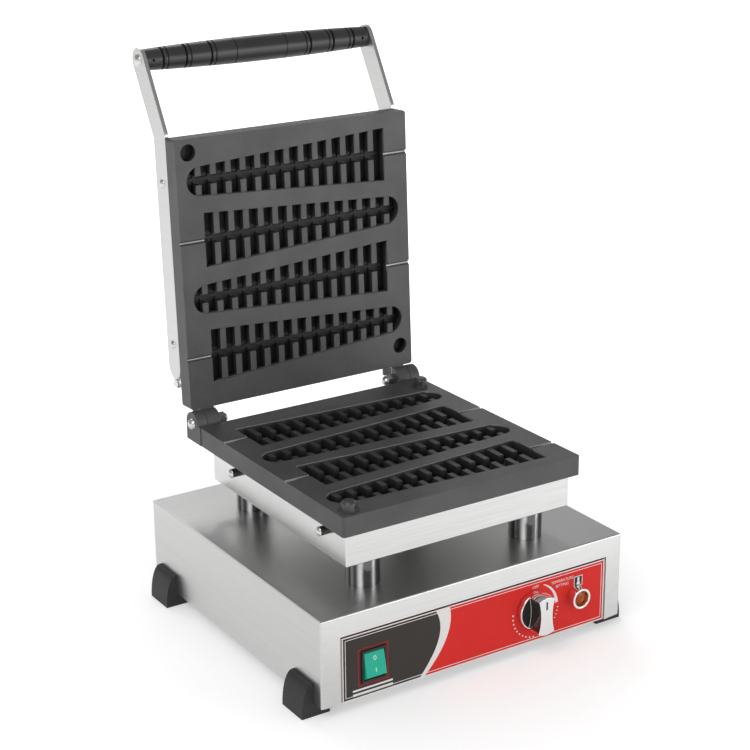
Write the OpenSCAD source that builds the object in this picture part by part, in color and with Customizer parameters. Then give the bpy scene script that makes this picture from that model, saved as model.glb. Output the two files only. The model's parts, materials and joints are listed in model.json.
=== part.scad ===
/* [Cabinet] */
// Width of the cabinet over its side walls
cabinet_w = 330; // [310:1:400]
// Depth of the cabinet from front edge to rear edge
cabinet_d = 318; // [300:1:380]
// Height of the cabinet walls
cabinet_h = 83.5; // [75:0.5:110]
// Height of the cabinet's underside above the floor
floor_gap = 12; // [8:0.5:18]
// Thickness of the cabinet, tray and cover sheet
sheet_t = 1.2; // [0.8:0.1:1.6]
// Width of the front frame beside and above the control panel
frame_w = 18.7; // [14:0.1:24]
// How far the front frame slopes forward at its inner edge
frame_rise = 2; // [0.5:0.1:4]
// Width of the rear flanges that the rear panel is screwed to
rear_flange_w = 14; // [12:0.5:20]
// Corner screws of the rear panel, in from the cabinet's sides and top
rear_screw_inset = 7; // [5:0.5:9]
// Length of one vent slot in the rear panel
vent_l = 46; // [30:1:60]
// Height of one vent slot
vent_h = 3; // [2:0.5:4]
// Number of vent slots above one another
vent_rows = 5; // [3:1:6]

/* [Control panel] */
// Gap between the control panel and the frame round it
panel_gap = 1.8; // [1:0.1:3]
// How far the label's face lies behind the frame's inner edge
panel_recess = 0.5; // [0.2:0.1:1.2]
// Thickness of the control panel sheet
panel_t = 1.2; // [1:0.1:2]
// Thickness of the control label
label_t = 0.5; // [0.3:0.1:0.8]
// Height of the panel's lower edge above the cabinet's underside
panel_foot = 1; // [0.5:0.1:2]
// Height of the knob and the lamp above the panel's lower edge
control_rise = 33.5; // [26:0.5:34]
// Distance of the knob's axis from the panel's right edge
knob_inset = 82.5; // [70:0.5:90]
// Distance of the lamp's axis from the panel's right edge
lamp_inset = 33.2; // [20:0.1:40]
// Distance of the switch's centre from the panel's left edge
switch_inset = 32.1; // [22:0.1:60]
// Height of the switch's centre above the panel's lower edge
switch_rise = 29; // [24:0.5:34]

/* [Rocker switch] */
// Width of the switch bezel
bezel_w = 25.5; // [24:0.1:30]
// Height of the switch bezel
bezel_h = 31; // [29:0.1:34]
// Thickness of the switch bezel in front of the label
bezel_t = 2; // [1.2:0.1:3]
// How far the bezel overlaps the cut-out all round
bezel_lap = 0.8; // [0.5:0.1:1.2]
// Wall thickness of the switch housing
housing_wall = 1.1; // [0.9:0.1:1.4]
// Depth of the switch housing behind the label
housing_d = 22; // [18:1:30]
// Half the rocker's swing
rocker_swing = 12; // [6:1:14]
// Distance of the rocker's front face from its pivot in the middle position
rocker_reach = 7; // [5:0.5:8]
// Distance of the rocker's pivot behind the label's face
rocker_pivot = 3.5; // [3:0.5:6]
// Radius of the rocker's pivot stubs
stub_r = 1.5; // [1:0.1:2]

/* [Knob and thermostat] */
// Radius of the knob
knob_r = 18.5; // [14:0.5:22]
// Height of the knob from the label's face
knob_h = 20; // [14:0.5:26]
// Thickness of the knob's base disc
knob_base_t = 4.5; // [3:0.5:8]
// Width of the knob's grip bar at its waist
knob_waist = 13; // [8:0.5:16]
// Radius of the hollows scooped from the knob's sides
scoop_r = 55; // [35:1:90]
// Gap between the knob and the label
knob_gap = 0.6; // [0.3:0.1:1.5]
// Radius of the thermostat spindle
spindle_r = 3; // [2.5:0.1:4]
// Radius of the threaded thermostat bush
bush_r = 5; // [4.5:0.1:6]
// Diameter of the thermostat body
thermostat_dia = 38; // [30:1:44]
// Depth of the thermostat body
thermostat_d = 26; // [18:1:34]
// Length of the temperature bulb
bulb_l = 90; // [60:1:110]
// Radius of the temperature bulb
bulb_r = 3; // [2:0.1:3.5]
// Radius of the capillary tube
capillary_r = 1; // [0.7:0.1:1.4]

/* [Pilot lamp] */
// Radius of the lamp's bright ring
lamp_r = 10; // [8:0.1:12]
// Height of the lamp's ring in front of the label
lamp_h = 9.5; // [5:0.5:12]
// Radius of the lamp's lens
lens_r = 7.7; // [6:0.1:7.9]
// Depth of the lens top below the rim of the ring
lens_sink = 1.5; // [0.5:0.1:3]
// Radius of the lamp body behind the panel
lamp_body_r = 6.5; // [5:0.1:7]
// Length of the lamp body behind the panel
lamp_body_l = 24; // [16:1:32]

/* [Feet] */
// Length of a foot along the cabinet's side
foot_l = 34; // [26:1:44]
// Height of a foot's upright
foot_h = 32; // [22:1:40]
// How far a foot spreads outwards at the floor
foot_spread = 12.4; // [6:0.1:16]
// How far a foot's pad reaches under the cabinet
foot_pad = 16; // [13:0.5:24]
// Distance of the feet from the cabinet's front and rear edges
foot_inset = 12.5; // [8:0.5:20]

/* [Standoffs and tray] */
// Length of the tubes between the cabinet and the heater tray
standoff_h = 29; // [20:0.5:45]
// Radius of the standoff tubes
standoff_r = 15.7; // [14:0.1:18]
// Wall thickness of the standoff tubes
standoff_wall = 2.5; // [1.5:0.1:3]
// Standoff axes, in from the tray's sides
standoff_side = 31.6; // [24:0.1:45]
// Front standoff axes, behind the tray's front
standoff_front = 23.6; // [20:0.1:35]
// Rear standoff axes, in front of the tray's rear
standoff_rear = 18; // [17:0.1:35]
// Radius of the standoff bolts
bolt_r = 3; // [2.5:0.1:4]
// Height of the heater tray
tray_h = 32.5; // [30:0.5:45]
// How far the lower plate overhangs the tray's sides
tray_lap = 7; // [5.5:0.1:10]
// How far the plates overhang the tray and the cover in front
front_lap = 7.7; // [4:0.1:12]
// How far the plates overhang the tray and the cover behind
rear_lap = 14.2; // [8:0.1:18]
// Distance of the tray screws below the lower plate
tray_screw_drop = 8.5; // [6:0.1:12]
// Front tray screws, in from the plate's front edge
tray_screw_front = 41.3; // [36:0.1:60]
// Rear tray screws, in from the plate's rear edge
tray_screw_rear = 62.2; // [50:0.1:80]

/* [Baking plates] */
// Width of each baking plate
plate_w = 257.2; // [246:0.1:280]
// Depth of each baking plate from front edge to rear edge
plate_d = 263.5; // [255:0.1:285]
// Thickness of each baking plate
plate_t = 18.7; // [17:0.1:24]
// Distance of the plates' front edge behind the cabinet's front edge
plate_setback = 18.7; // [10:0.1:25]
// Radius of the plates' upright corners
plate_corner_r = 3; // [1.5:0.5:9]
// Gap between the two plates when the lid is down
baking_gap = 0.6; // [0.6:0.1:2]
// Number of moulds in each plate
mould_count = 4; // [3:1:4]
// Centre of the first mould behind the plate's front edge
mould_front = 41.3; // [40:0.1:44]
// Centre of the last mould in front of the plate's rear edge
mould_rear = 50.6; // [48:0.1:54]
// Distance of a mould's wide end from the plate's side
wide_margin = 26.2; // [20:0.1:34]
// Distance of a mould's round end from the plate's side
tip_margin = 10.4; // [9:0.1:16]
// Width of a mould at its wide end
wide_w = 53.2; // [44:0.1:54]
// Radius of a mould's round end
tip_r = 14.2; // [12:0.1:16]
// Depth of the moulds
mould_depth = 12.5; // [9:0.1:13]
// Depth of the fins' tops below the plate's face
fin_sink = 2; // [1:0.1:3]
// Height of the low ridge on the moulds' floor
ridge_h = 1.5; // [0.8:0.1:2.5]
// Width of the low ridge on the moulds' floor
ridge_w = 3.4; // [2:0.1:5]
// Width of the channel between facing fins
channel_w = 9; // [8:0.1:12]
// Thickness of a fin
fin_t = 5.6; // [4:0.1:7]
// Number of fins on each side of a mould
fin_count = 13; // [9:1:14]
// Centre of the first fin from the wide end
fin_first = 14.4; // [10:0.1:18]
// Centre of the last fin from the round end
fin_last = 13.4; // [10:0.1:18]
// Radius of the groove for the stick
stick_r = 2.2; // [1.5:0.1:3]

/* [Locating pegs] */
// Peg radius at the plate's face
peg_r = 7.2; // [6:0.1:8]
// Taper of the peg's radius below its chamfer
peg_taper = 0.4; // [0.2:0.1:0.6]
// Height of the chamfer round the peg's top
peg_chamfer = 1.8; // [1:0.1:2.5]
// Peg radius at its top
peg_top_r = 5.1; // [4.5:0.1:5.8]
// Height of the pegs above the lower plate
peg_h = 9; // [6:0.1:11]
// Radius of the peg's foot, let into the plate
peg_foot_r = 9.7; // [9:0.1:11]
// Depth of the peg's foot in the plate
peg_foot_t = 4; // [2:0.1:6]
// Radial clearance of the sockets round the pegs
socket_clear = 1; // [0.6:0.1:1.2]
// Peg axes, in from the plates' sides
peg_side = 13.8; // [12:0.1:16]
// Front peg axis behind the plates' front edge
peg_front = 13.3; // [12.5:0.1:16]
// Rear peg axis in front of the plates' rear edge
peg_rear = 21.2; // [20:0.1:24]

/* [Hinge] */
// Distance of the hinge axis behind the plates' rear edge
hinge_back = 13.1; // [12.8:0.1:18]
// Depth of the hinge axis below the parting plane of the closed plates
hinge_drop = 1.2; // [0:0.1:2.5]
// Clearance between the knuckles and the plates' rear edges
knuckle_clear = 1; // [0.6:0.1:1.5]
// Width of the lower plate's knuckles
outer_knuckle_w = 10.7; // [8:0.1:14]
// Width of the upper plate's knuckles
inner_knuckle_w = 14; // [10:0.1:18]
// Gap between neighbouring knuckles
knuckle_gap = 0.5; // [0.3:0.1:1]
// How far the outer knuckles stand out beyond the plates' sides
knuckle_out = 0.6; // [0:0.1:3]
// Radius of the hinge bolts
pivot_r = 4; // [3:0.1:5]
// Running clearance of the hinge bolts in their bores
pivot_clear = 0.06; // [0.03:0.01:0.1]
// Angle by which the lid stands open
lid_open = 92.4; // [80:0.1:100]

/* [Lid cover and arms] */
// Height of the lid cover
cover_h = 26; // [24:0.5:40]
// How far the upper plate overhangs the cover's sides
cover_lap = 4.1; // [3:0.1:8]
// Thickness of the lid arms
arm_t = 4; // [3:0.1:6]
// Width of the lid arms
arm_w = 24; // [22.5:0.1:26]
// Distance of the arm's rear end in front of the cover's rear
arm_end = 11; // [10:0.5:30]
// Distance of the arm's bend in front of the plate's front edge
arm_bend = 0.2; // [0:0.1:10]
// Front arm screws, in from the plate's front edge
arm_screw_front = 45; // [36:0.1:60]
// Rear arm screws, in from the plate's rear edge
arm_screw_rear = 59.5; // [50:0.1:80]

/* [Handle] */
// Distance of the handle's axis in front of the plate's front edge
handle_reach = 67.7; // [50:0.1:90]
// Height of the handle's axis above the middle of the arms
handle_rise = 35.2; // [20:0.1:60]
// Radius of the grip in the middle
grip_r = 12.7; // [11.5:0.1:14]
// Radius of the grip at its ends
grip_end_r = 10.1; // [8:0.1:11]
// How deep the handle screws reach into the rod
handle_screw_in = 12; // [8:0.5:13]
// Radius of the handle rod
rod_r = 5; // [4.5:0.1:6]
// Width of the grooves round the grip
groove_w = 1.6; // [1:0.1:2.5]
// Depth of the grooves round the grip
groove_d = 1.1; // [0.5:0.1:1.4]
// Radius of the pin holes near the grip's ends
pin_hole_r = 1.4; // [1:0.1:2]

/* [Heating] */
// Radius of the heating elements
heater_r = 4; // [3:0.1:4.5]
// Distance between neighbouring legs of a heating element
heater_pitch = 50; // [36:1:56]
// Heater bends, behind the plate's front edge
heater_front = 40; // [34:1:60]
// Heater ends, in front of the plate's rear edge
heater_rear = 72; // [66:1:90]
// Thickness of the clamp plates
clamp_t = 2; // [1.5:0.1:3]
// Width of the clamp plates
clamp_w = 190; // [170:1:210]
// Radius of the clamp screws
clamp_screw_r = 2.5; // [2:0.1:3]
// How deep the clamp screws reach into the plates
clamp_screw_in = 4; // [3:0.1:5]
// Gap round the insulation boards
board_gap = 0.5; // [0.3:0.1:2]
// Radius of the heater leads
lead_r = 1.8; // [1.2:0.1:2.2]

/* [Fittings] */
// Radius of the dome heads on arms, tray and rear panel
dome_r = 4.5; // [3.5:0.1:5]
// Height of the dome heads
dome_h = 2.6; // [1.8:0.1:3.5]
// Radius of the small screws' shanks
shank_r = 2; // [1.5:0.1:2.2]
// How deep the small screws reach behind their sheet
screw_in = 8; // [6:0.5:9]
// Bore radius of the mains cable gland
gland_bore_r = 4.5; // [3.5:0.1:5]
// Length of the mains cable gland outside the rear panel
gland_out = 18; // [12:0.5:24]
// Height of the glands above the cabinet's underside
gland_rise = 30; // [24:0.5:50]
// Distance of the mains gland from the cabinet's middle
gland_x = 100; // [80:1:115]
// Distance of the lid lead's glands from the middle
lid_gland_x = 75; // [70:1:85]
// Distance of the lid's gland in front of the cover's rear
lid_gland_back = 28; // [22:0.5:40]
// Bore radius of the lid lead's glands
lid_gland_bore_r = 3; // [2:0.1:3.5]

/* [Hidden] */
$fn = 64;

// Overshoot of cuts through a face
cut = 1;
// Clearance of holes round fixed shanks and bushes
fit_clear = 0.05;
// Clearance of pieces that slip through a hole
hole_clear = 0.3;

// Heights
cabinet_top = floor_gap + cabinet_h;
tray_z = cabinet_top + standoff_h;
plate_z = tray_z + tray_h;
plate_face = plate_z + plate_t;
parting_z = plate_face + baking_gap / 2;
lid_face = parting_z + baking_gap / 2;
lid_back = lid_face + plate_t;

// Front-to-rear places, from the cabinet's front edge
plate_front = plate_setback;
plate_rear = plate_front + plate_d;
tray_front = plate_front + front_lap;
tray_rear = plate_rear - rear_lap;
hinge_y = plate_rear + hinge_back;
hinge_z = parting_z - hinge_drop;
hinge_x = plate_w / 2 + knuckle_out;
knuckle_r = hinge_back - knuckle_clear;
tray_w = plate_w - 2 * tray_lap;
cover_w = plate_w - 2 * cover_lap;
screw_ys = [plate_front + tray_screw_front, plate_rear - tray_screw_rear];
arm_screw_ys = [plate_front + arm_screw_front, plate_rear - arm_screw_rear];

// Front frame, panel and label
opening_w = cabinet_w - 2 * frame_w;
opening_top = cabinet_top - frame_w;
panel_w = opening_w - 2 * panel_gap;
panel_z = floor_gap + panel_foot;
panel_h = opening_top - panel_gap - panel_z;
label_y = -frame_rise + panel_recess;
panel_back = label_y + label_t + panel_t;
control_z = panel_z + control_rise;
knob_x = panel_w / 2 - knob_inset;
lamp_x = panel_w / 2 - lamp_inset;
switch_x = -panel_w / 2 + switch_inset;
switch_z = panel_z + switch_rise;
cutout_w = bezel_w - 2 * bezel_lap;
cutout_h = bezel_h - 2 * bezel_lap;
housing_w = cutout_w - 2 * hole_clear / 2;
housing_h = cutout_h - 2 * hole_clear / 2;
bush_nut_t = 1.5;
rocker_side_gap = 0.35;
rocker_w = housing_w - 2 * housing_wall - 2 * rocker_side_gap;
rocker_top_gap = 0.4;
rocker_sweep_r = housing_h / 2 - housing_wall - rocker_top_gap;
pivot_y = label_y + rocker_pivot;

// Standoffs
standoff_x = tray_w / 2 - standoff_side;
standoff_ys = [tray_front + standoff_front, tray_rear - standoff_rear];
bolt_head_h = 2 * bolt_r * 0.65;
bolt_head_r = 1.7 * bolt_r;
washer_r = 2.4 * bolt_r;
washer_t = 1.2;
lead_offset = standoff_r - standoff_wall - 4;
lead_holes = [
    [-standoff_x - lead_offset, standoff_ys[1]],
    [standoff_x + lead_offset, standoff_ys[1]],
    [standoff_x, standoff_ys[1] + lead_offset]
];

// Moulds
mould_l = plate_w - wide_margin - tip_margin;
mould_pitch = (plate_d - mould_front - mould_rear) / (mould_count - 1);
fin_pitch = (mould_l - fin_first - fin_last) / (fin_count - 1);
peg_spots = [
    [-plate_w / 2 + peg_side, plate_front + peg_front],
    [plate_w / 2 - peg_side, plate_rear - peg_rear]
];

// Lid
cover_top = lid_back + cover_h;
arm_x = cover_w / 2;
arm_z = lid_back + hole_clear + arm_w / 2;
arm_rear = tray_rear - arm_end - arm_w / 2;
bend_y = plate_front - arm_bend;
handle_y = plate_front - handle_reach;
handle_z = arm_z + handle_rise;
arm_slope = atan2(handle_z - arm_z, bend_y - handle_y);
arm_slant = norm([handle_z - arm_z, bend_y - handle_y]);
cover_screw_y = tray_rear - 5.5;
grip_gap = 0.3;
grip_half = cover_w / 2 - grip_gap;
groove_spots = [0.445, 0.66, 0.855];

// Heating
heater_x = 1.5 * heater_pitch;
heater_y0 = plate_front + heater_front + heater_pitch / 2;
heater_y1 = plate_rear - heater_rear;
clamp_front = plate_front + heater_front - 6;
clamp_rear = heater_y1 - 8;
clamp_screw_ys = [clamp_front + 30, clamp_rear - 30];
bulb_y = (clamp_front + clamp_rear) / 2;
board_bottom = tray_z + sheet_t;
board_top = plate_z - 2 * heater_r - clamp_t - board_gap;
lid_board_bottom = lid_back + 2 * heater_r + clamp_t + board_gap;
lid_board_top = cover_top - sheet_t;
terminal_l = 14;
block_x = lead_holes[0][0];
block_y = cabinet_d / 2;
block_d = 25;
block_h = 26;
block_lead_z = floor_gap + sheet_t + 14;
foot_screw_inset = foot_pad / 2 + 1;

// Middle of the whole machine from front to rear, with the lid open
knob_front = label_y - knob_h;
handle_back = hinge_y + (handle_y - hinge_y) * cos(lid_open)
    + (handle_z - hinge_z) * sin(lid_open) + max(arm_w / 2, grip_r);
middle_y = (knob_front + handle_back) / 2;

// Puts a piece of the base in the part's frame
module base_frame() {
    translate([0, -middle_y, 0]) children();
}

// Puts a piece of the lid, drawn with the lid down, in its open place
module lid_frame() {
    base_frame()
        translate([0, hinge_y, hinge_z]) rotate([-lid_open, 0, 0])
            translate([0, -hinge_y, -hinge_z]) children();
}

// Extrudes an outline drawn with y and z as its axes evenly to both sides of x = 0
module across(width) {
    rotate([90, 0, 90]) linear_extrude(width, center = true) children();
}

// A round bar along x from x0 to x1
module bar_x(x0, x1, r) {
    translate([x0, 0, 0]) rotate([0, 90, 0]) cylinder(h = x1 - x0, r = r);
}

// A round bar along y from y0 to y1
module bar_y(y0, y1, r) {
    translate([0, y0, 0]) rotate([-90, 0, 0]) cylinder(h = y1 - y0, r = r);
}

// A flat rectangle with rounded corners
module rounded_rect(w, d, r) {
    square([w, d - 2 * r], center = true);
    square([w - 2 * r, d], center = true);
    for (sx = [-1, 1], sy = [-1, 1])
        translate([sx * (w / 2 - r), sy * (d / 2 - r)]) circle(r);
}

// A low dome head whose seat lies at z = 0
module dome_head(r, h) {
    sphere_r = (r * r + h * h) / (2 * h);
    intersection() {
        translate([0, 0, h - sphere_r]) sphere(sphere_r);
        cylinder(h = 2 * h, r = r);
    }
}

// A screw with a dome head outside x = 0 and a shank of the given length inside
module side_screw(r, h, shank, length) {
    rotate([0, -90, 0]) dome_head(r, h);
    bar_x(0, length, shank);
}

function unit(v) = v / norm(v);

// Rings of a thin tube along a route: each is cut on the plane that halves its bend
function tube_rings(route, r, sides, i = 0, rings = []) =
    i == len(route) ? rings :
    let (
        ahead = unit(i == 0 ? route[1] - route[0] : route[i] - route[i - 1]),
        next = i == len(route) - 1 ? ahead : unit(route[i + 1] - route[i]),
        halving = unit(ahead + next),
        side = unit(cross(ahead, abs(ahead[2]) < 0.9 ? [0, 0, 1] : [1, 0, 0])),
        up = cross(side, ahead),
        ring = i == 0
            ? [for (k = [0 : sides - 1])
                route[0] + r * (cos(360 * k / sides) * side + sin(360 * k / sides) * up)]
            : [for (q = rings[i - 1]) q + ahead * ((route[i] - q) * halving) / (ahead * halving)]
    )
    tube_rings(route, r, sides, i + 1, concat(rings, [ring]));

// A thin tube with mitred bends along a route
module tube_run(route, r) {
    sides = 10;
    last = len(route) - 1;
    polyhedron(
        points = [for (ring = tube_rings(route, r, sides)) each ring],
        faces = concat(
            [[for (k = [sides - 1 : -1 : 0]) k]],
            [for (i = [0 : last - 1], k = [0 : sides - 1])
                let (a = i * sides + k, b = i * sides + (k + 1) % sides)
                [a, b, b + sides, a + sides]],
            [[for (k = [0 : sides - 1]) last * sides + k]]
        )
    );
}

// Cabinet -------------------------------------------------------------

// Wedge between the cabinet's edge and the panel opening, moved back and in by a sheet's thickness
module frame_slope(inset) {
    hull() {
        translate([-cabinet_w / 2 + inset, inset, floor_gap - inset])
            cube([cabinet_w - 2 * inset, 0.01, cabinet_h]);
        translate([-opening_w / 2, inset - frame_rise, floor_gap - inset])
            cube([opening_w, 0.01, cabinet_h - frame_w + inset]);
    }
}

// Folded steel wrap: top, side walls, sloped front frame and rear flanges
module cabinet_shell() {
    rear_open_w = cabinet_w - 2 * rear_flange_w;
    color("silver") base_frame() difference() {
        union() {
            frame_slope(0);
            translate([-cabinet_w / 2, 0, floor_gap]) cube([cabinet_w, cabinet_d, cabinet_h]);
        }
        frame_slope(sheet_t);
        translate([-cabinet_w / 2 + sheet_t, sheet_t, floor_gap - cut])
            cube([cabinet_w - 2 * sheet_t, cabinet_d - 2 * sheet_t, cabinet_h - sheet_t + cut]);
        translate([-opening_w / 2, -frame_rise - cut, floor_gap - cut])
            cube([opening_w, frame_rise + sheet_t + 2 * cut, cabinet_h - frame_w + cut]);
        translate([-rear_open_w / 2, cabinet_d - sheet_t - cut, floor_gap - cut])
            cube([rear_open_w, sheet_t + 2 * cut, cabinet_h - rear_flange_w + cut]);
        for (sx = [-1, 1], y = standoff_ys)
            translate([sx * standoff_x, y, cabinet_top - sheet_t - cut])
                cylinder(h = sheet_t + 2 * cut, r = bolt_r + hole_clear);
        for (p = lead_holes) translate([p[0], p[1], cabinet_top - sheet_t - cut])
            cylinder(h = sheet_t + 2 * cut, r = lead_r + 2 * hole_clear);
        rear_screw_spots() bar_y(cabinet_d - sheet_t - cut, cabinet_d + cut, shank_r + fit_clear);
    }
}

// Places of the rear panel's corner screws
module rear_screw_spots() {
    for (sx = [-1, 1], z = [floor_gap + rear_screw_inset + 5, cabinet_top - rear_screw_inset])
        translate([sx * (cabinet_w / 2 - rear_screw_inset), 0, z]) children();
}

// Places of the four feet: sx is the side, sy is 0 in front and 1 behind
function foot_y(sy) = sy == 0 ? foot_inset : cabinet_d - foot_inset - foot_l;

// Flat floor of the cabinet, with slots that let cooling air in
module bottom_plate() {
    slot_l = 60;
    front = panel_back + sheet_t + fit_clear;
    color("gainsboro") base_frame() difference() {
        translate([-cabinet_w / 2 + sheet_t, front, floor_gap])
            cube([cabinet_w - 2 * sheet_t, cabinet_d - 2 * sheet_t - front, sheet_t]);
        for (sx = [-1, 1], i = [-3 : 3])
            translate([sx * cabinet_w / 5 - slot_l / 2, cabinet_d / 2 + 12 * i, floor_gap - cut])
                cube([slot_l, 4, sheet_t + 2 * cut]);
        for (sx = [-1, 1], sy = [0, 1])
            translate([sx * (cabinet_w / 2 - foot_screw_inset), foot_y(sy) + foot_l / 2, floor_gap - cut])
                cylinder(h = sheet_t + 2 * cut, r = shank_r + fit_clear);
    }
}

// Rear panel with vent slots and the two cable gland holes
module rear_panel() {
    vent_pitch = 2 * vent_h;
    color("silver") base_frame() difference() {
        translate([-cabinet_w / 2 + sheet_t, cabinet_d - 2 * sheet_t, floor_gap])
            cube([cabinet_w - 2 * sheet_t, sheet_t, cabinet_h - sheet_t]);
        for (i = [0 : vent_rows - 1], j = [-0.5, 0.5])
            translate([j * (vent_l + 10) - vent_l / 2, cabinet_d - 2 * sheet_t - cut,
                    floor_gap + cabinet_h / 2 + (i - vent_rows / 2) * vent_pitch])
                cube([vent_l, sheet_t + 2 * cut, vent_h]);
        translate([gland_x, 0, floor_gap + gland_rise])
            bar_y(cabinet_d - 3 * sheet_t, cabinet_d, gland_bore_r + 3 + fit_clear);
        translate([-lid_gland_x, 0, floor_gap + gland_rise])
            bar_y(cabinet_d - 3 * sheet_t, cabinet_d, lid_gland_bore_r + 2.5 + fit_clear);
        rear_screw_spots() bar_y(cabinet_d - 3 * sheet_t, cabinet_d, shank_r + fit_clear);
    }
}

// Dome head screws at the rear panel's corners
module rear_screws() {
    color("silver") base_frame() rear_screw_spots() {
        translate([0, cabinet_d, 0]) rotate([-90, 0, 0]) dome_head(dome_r, dome_h);
        bar_y(cabinet_d - screw_in, cabinet_d, shank_r);
    }
}

// Holes that the panel and the label share
module control_holes(y0, y1, extra) {
    translate([switch_x - cutout_w / 2, y0, switch_z - cutout_h / 2]) cube([cutout_w, y1 - y0, cutout_h]);
    translate([knob_x, 0, control_z]) bar_y(y0, y1, bush_r + extra);
    translate([lamp_x, 0, control_z]) bar_y(y0, y1, lamp_body_r + extra);
}

// Steel plate that carries the controls
module front_panel() {
    color("gray") base_frame() difference() {
        translate([-panel_w / 2, label_y + label_t, panel_z]) cube([panel_w, panel_t, panel_h]);
        control_holes(label_y + label_t - cut, panel_back + cut, fit_clear);
    }
}

// Printed label that covers the control panel
module control_label() {
    color("crimson") base_frame() difference() {
        translate([-panel_w / 2, label_y, panel_z]) cube([panel_w, label_t, panel_h]);
        control_holes(label_y - cut, label_y + label_t + cut, hole_clear);
    }
}

// Two strips behind the panel's ends that bridge its gap to the frame's return
module panel_clamps() {
    strip_w = panel_gap + 10;
    lip = 1.2;
    lip_y = sheet_t - frame_rise * (1 - lip / frame_w);
    color("silver") base_frame() for (sx = [-1, 1]) mirror([sx < 0 ? 1 : 0, 0, 0]) {
        translate([opening_w / 2 - strip_w, panel_back, panel_z]) cube([strip_w + lip, sheet_t, panel_h]);
        translate([opening_w / 2, lip_y, panel_z]) cube([lip, panel_back + 0.5 - lip_y, panel_h]);
    }
}

// Side profile of a foot: pad under the cabinet and a curved upright beside it
module foot_profile() {
    steps = 8;
    top_w = 2.2;
    curve = [for (i = [0 : steps])
        [top_w + (foot_spread - top_w) * cos(90 * i / steps), foot_h * sin(90 * i / steps)]];
    polygon(concat([[-foot_pad, 0]], curve, [[0, foot_h], [0, floor_gap], [-foot_pad, floor_gap]]));
}

// One rubber corner foot on the side sx, in front (sy = 0) or behind (sy = 1)
module foot(sx, sy) {
    color([0.12, 0.12, 0.12]) base_frame() mirror([sx < 0 ? 1 : 0, 0, 0]) difference() {
        translate([cabinet_w / 2, foot_y(sy) + foot_l, 0])
            rotate([90, 0, 0]) linear_extrude(foot_l) foot_profile();
        translate([cabinet_w / 2 - foot_screw_inset, foot_y(sy) + foot_l / 2, -cut]) {
            cylinder(h = floor_gap + 2 * cut, r = shank_r + fit_clear);
            cylinder(h = cut + floor_gap / 2, r = dome_r + hole_clear);
        }
    }
}

// Screws that hold the feet to the cabinet's floor
module foot_screws() {
    color("silver") base_frame() for (sx = [-1, 1], sy = [0, 1])
        translate([sx * (cabinet_w / 2 - foot_screw_inset), foot_y(sy) + foot_l / 2, floor_gap / 2]) {
            mirror([0, 0, 1]) dome_head(dome_r, dome_h);
            cylinder(h = floor_gap / 2 + sheet_t + 4, r = shank_r);
        }
}

// Standoffs and tray --------------------------------------------------

// Polished tube between the cabinet and the tray
module standoff(sx, i) {
    color("lightgray") base_frame() translate([sx * standoff_x, standoff_ys[i], cabinet_top]) difference() {
        cylinder(h = standoff_h, r = standoff_r);
        translate([0, 0, -cut]) cylinder(h = standoff_h + 2 * cut, r = standoff_r - standoff_wall);
    }
}

// Bolts with washers that pull the tray down on the standoffs
module standoff_bolts() {
    top = tray_z + sheet_t + washer_t;
    color("silver") base_frame() for (sx = [-1, 1], y = standoff_ys) translate([sx * standoff_x, y, 0]) {
        translate([0, 0, top - washer_t]) cylinder(h = washer_t, r = washer_r);
        translate([0, 0, top]) cylinder(h = bolt_head_h, r = bolt_head_r, $fn = 6);
        translate([0, 0, cabinet_top - sheet_t - 2 * bolt_head_h])
            cylinder(h = top - cabinet_top + sheet_t + 2 * bolt_head_h, r = bolt_r);
    }
}

// Nuts on the standoff bolts, under the cabinet's top
module standoff_nuts() {
    nut_z = cabinet_top - sheet_t - 1.4 * bolt_r;
    color("silver") base_frame() for (sx = [-1, 1], y = standoff_ys) translate([sx * standoff_x, y, nut_z])
        difference() {
            cylinder(h = 1.4 * bolt_r, r = bolt_head_r, $fn = 6);
            translate([0, 0, -cut]) cylinder(h = 1.4 * bolt_r + 2 * cut, r = bolt_r + fit_clear);
        }
}

// Folded steel tray under the lower plate
module heater_tray() {
    tray_d = tray_rear - tray_front;
    color("gainsboro") base_frame() difference() {
        translate([-tray_w / 2, tray_front, tray_z]) cube([tray_w, tray_d, tray_h]);
        translate([-tray_w / 2 + sheet_t, tray_front + sheet_t, tray_z + sheet_t])
            cube([tray_w - 2 * sheet_t, tray_d - 2 * sheet_t, tray_h]);
        for (sx = [-1, 1], y = standoff_ys)
            translate([sx * standoff_x, y, tray_z - cut]) cylinder(h = sheet_t + 2 * cut, r = bolt_r + hole_clear);
        for (p = lead_holes) translate([p[0], p[1], tray_z - cut])
            cylinder(h = sheet_t + 2 * cut, r = lead_r + 2 * hole_clear);
        for (y = screw_ys)
            translate([0, y, plate_z - tray_screw_drop]) bar_x(-tray_w, tray_w, shank_r + fit_clear);
    }
}

// Black bushes between the tray's side walls and the screw heads
module tray_spacers() {
    color([0.15, 0.15, 0.15]) base_frame() for (sx = [0, 1], y = screw_ys)
        mirror([sx, 0, 0]) translate([-tray_w / 2 - tray_lap, y, plate_z - tray_screw_drop]) difference() {
            bar_x(0, tray_lap, dome_r - 0.3);
            bar_x(-cut, tray_lap + cut, shank_r + fit_clear);
        }
}

// Dome head screws through the bushes into the tray
module tray_screws() {
    color("silver") base_frame() for (sx = [0, 1], y = screw_ys)
        mirror([sx, 0, 0]) translate([-tray_w / 2 - tray_lap, y, plate_z - tray_screw_drop])
            side_screw(dome_r, dome_h, shank_r, tray_lap + screw_in);
}

// Baking plates -------------------------------------------------------

// Outline of one mould, wide end at x = 0 and round end at x = mould_l
module mould_outline() {
    tip_x = mould_l - tip_r;
    polygon([[0, -wide_w / 2], [tip_x, -tip_r], [tip_x, tip_r], [0, wide_w / 2]]);
    translate([tip_x, 0]) circle(tip_r);
}

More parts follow.
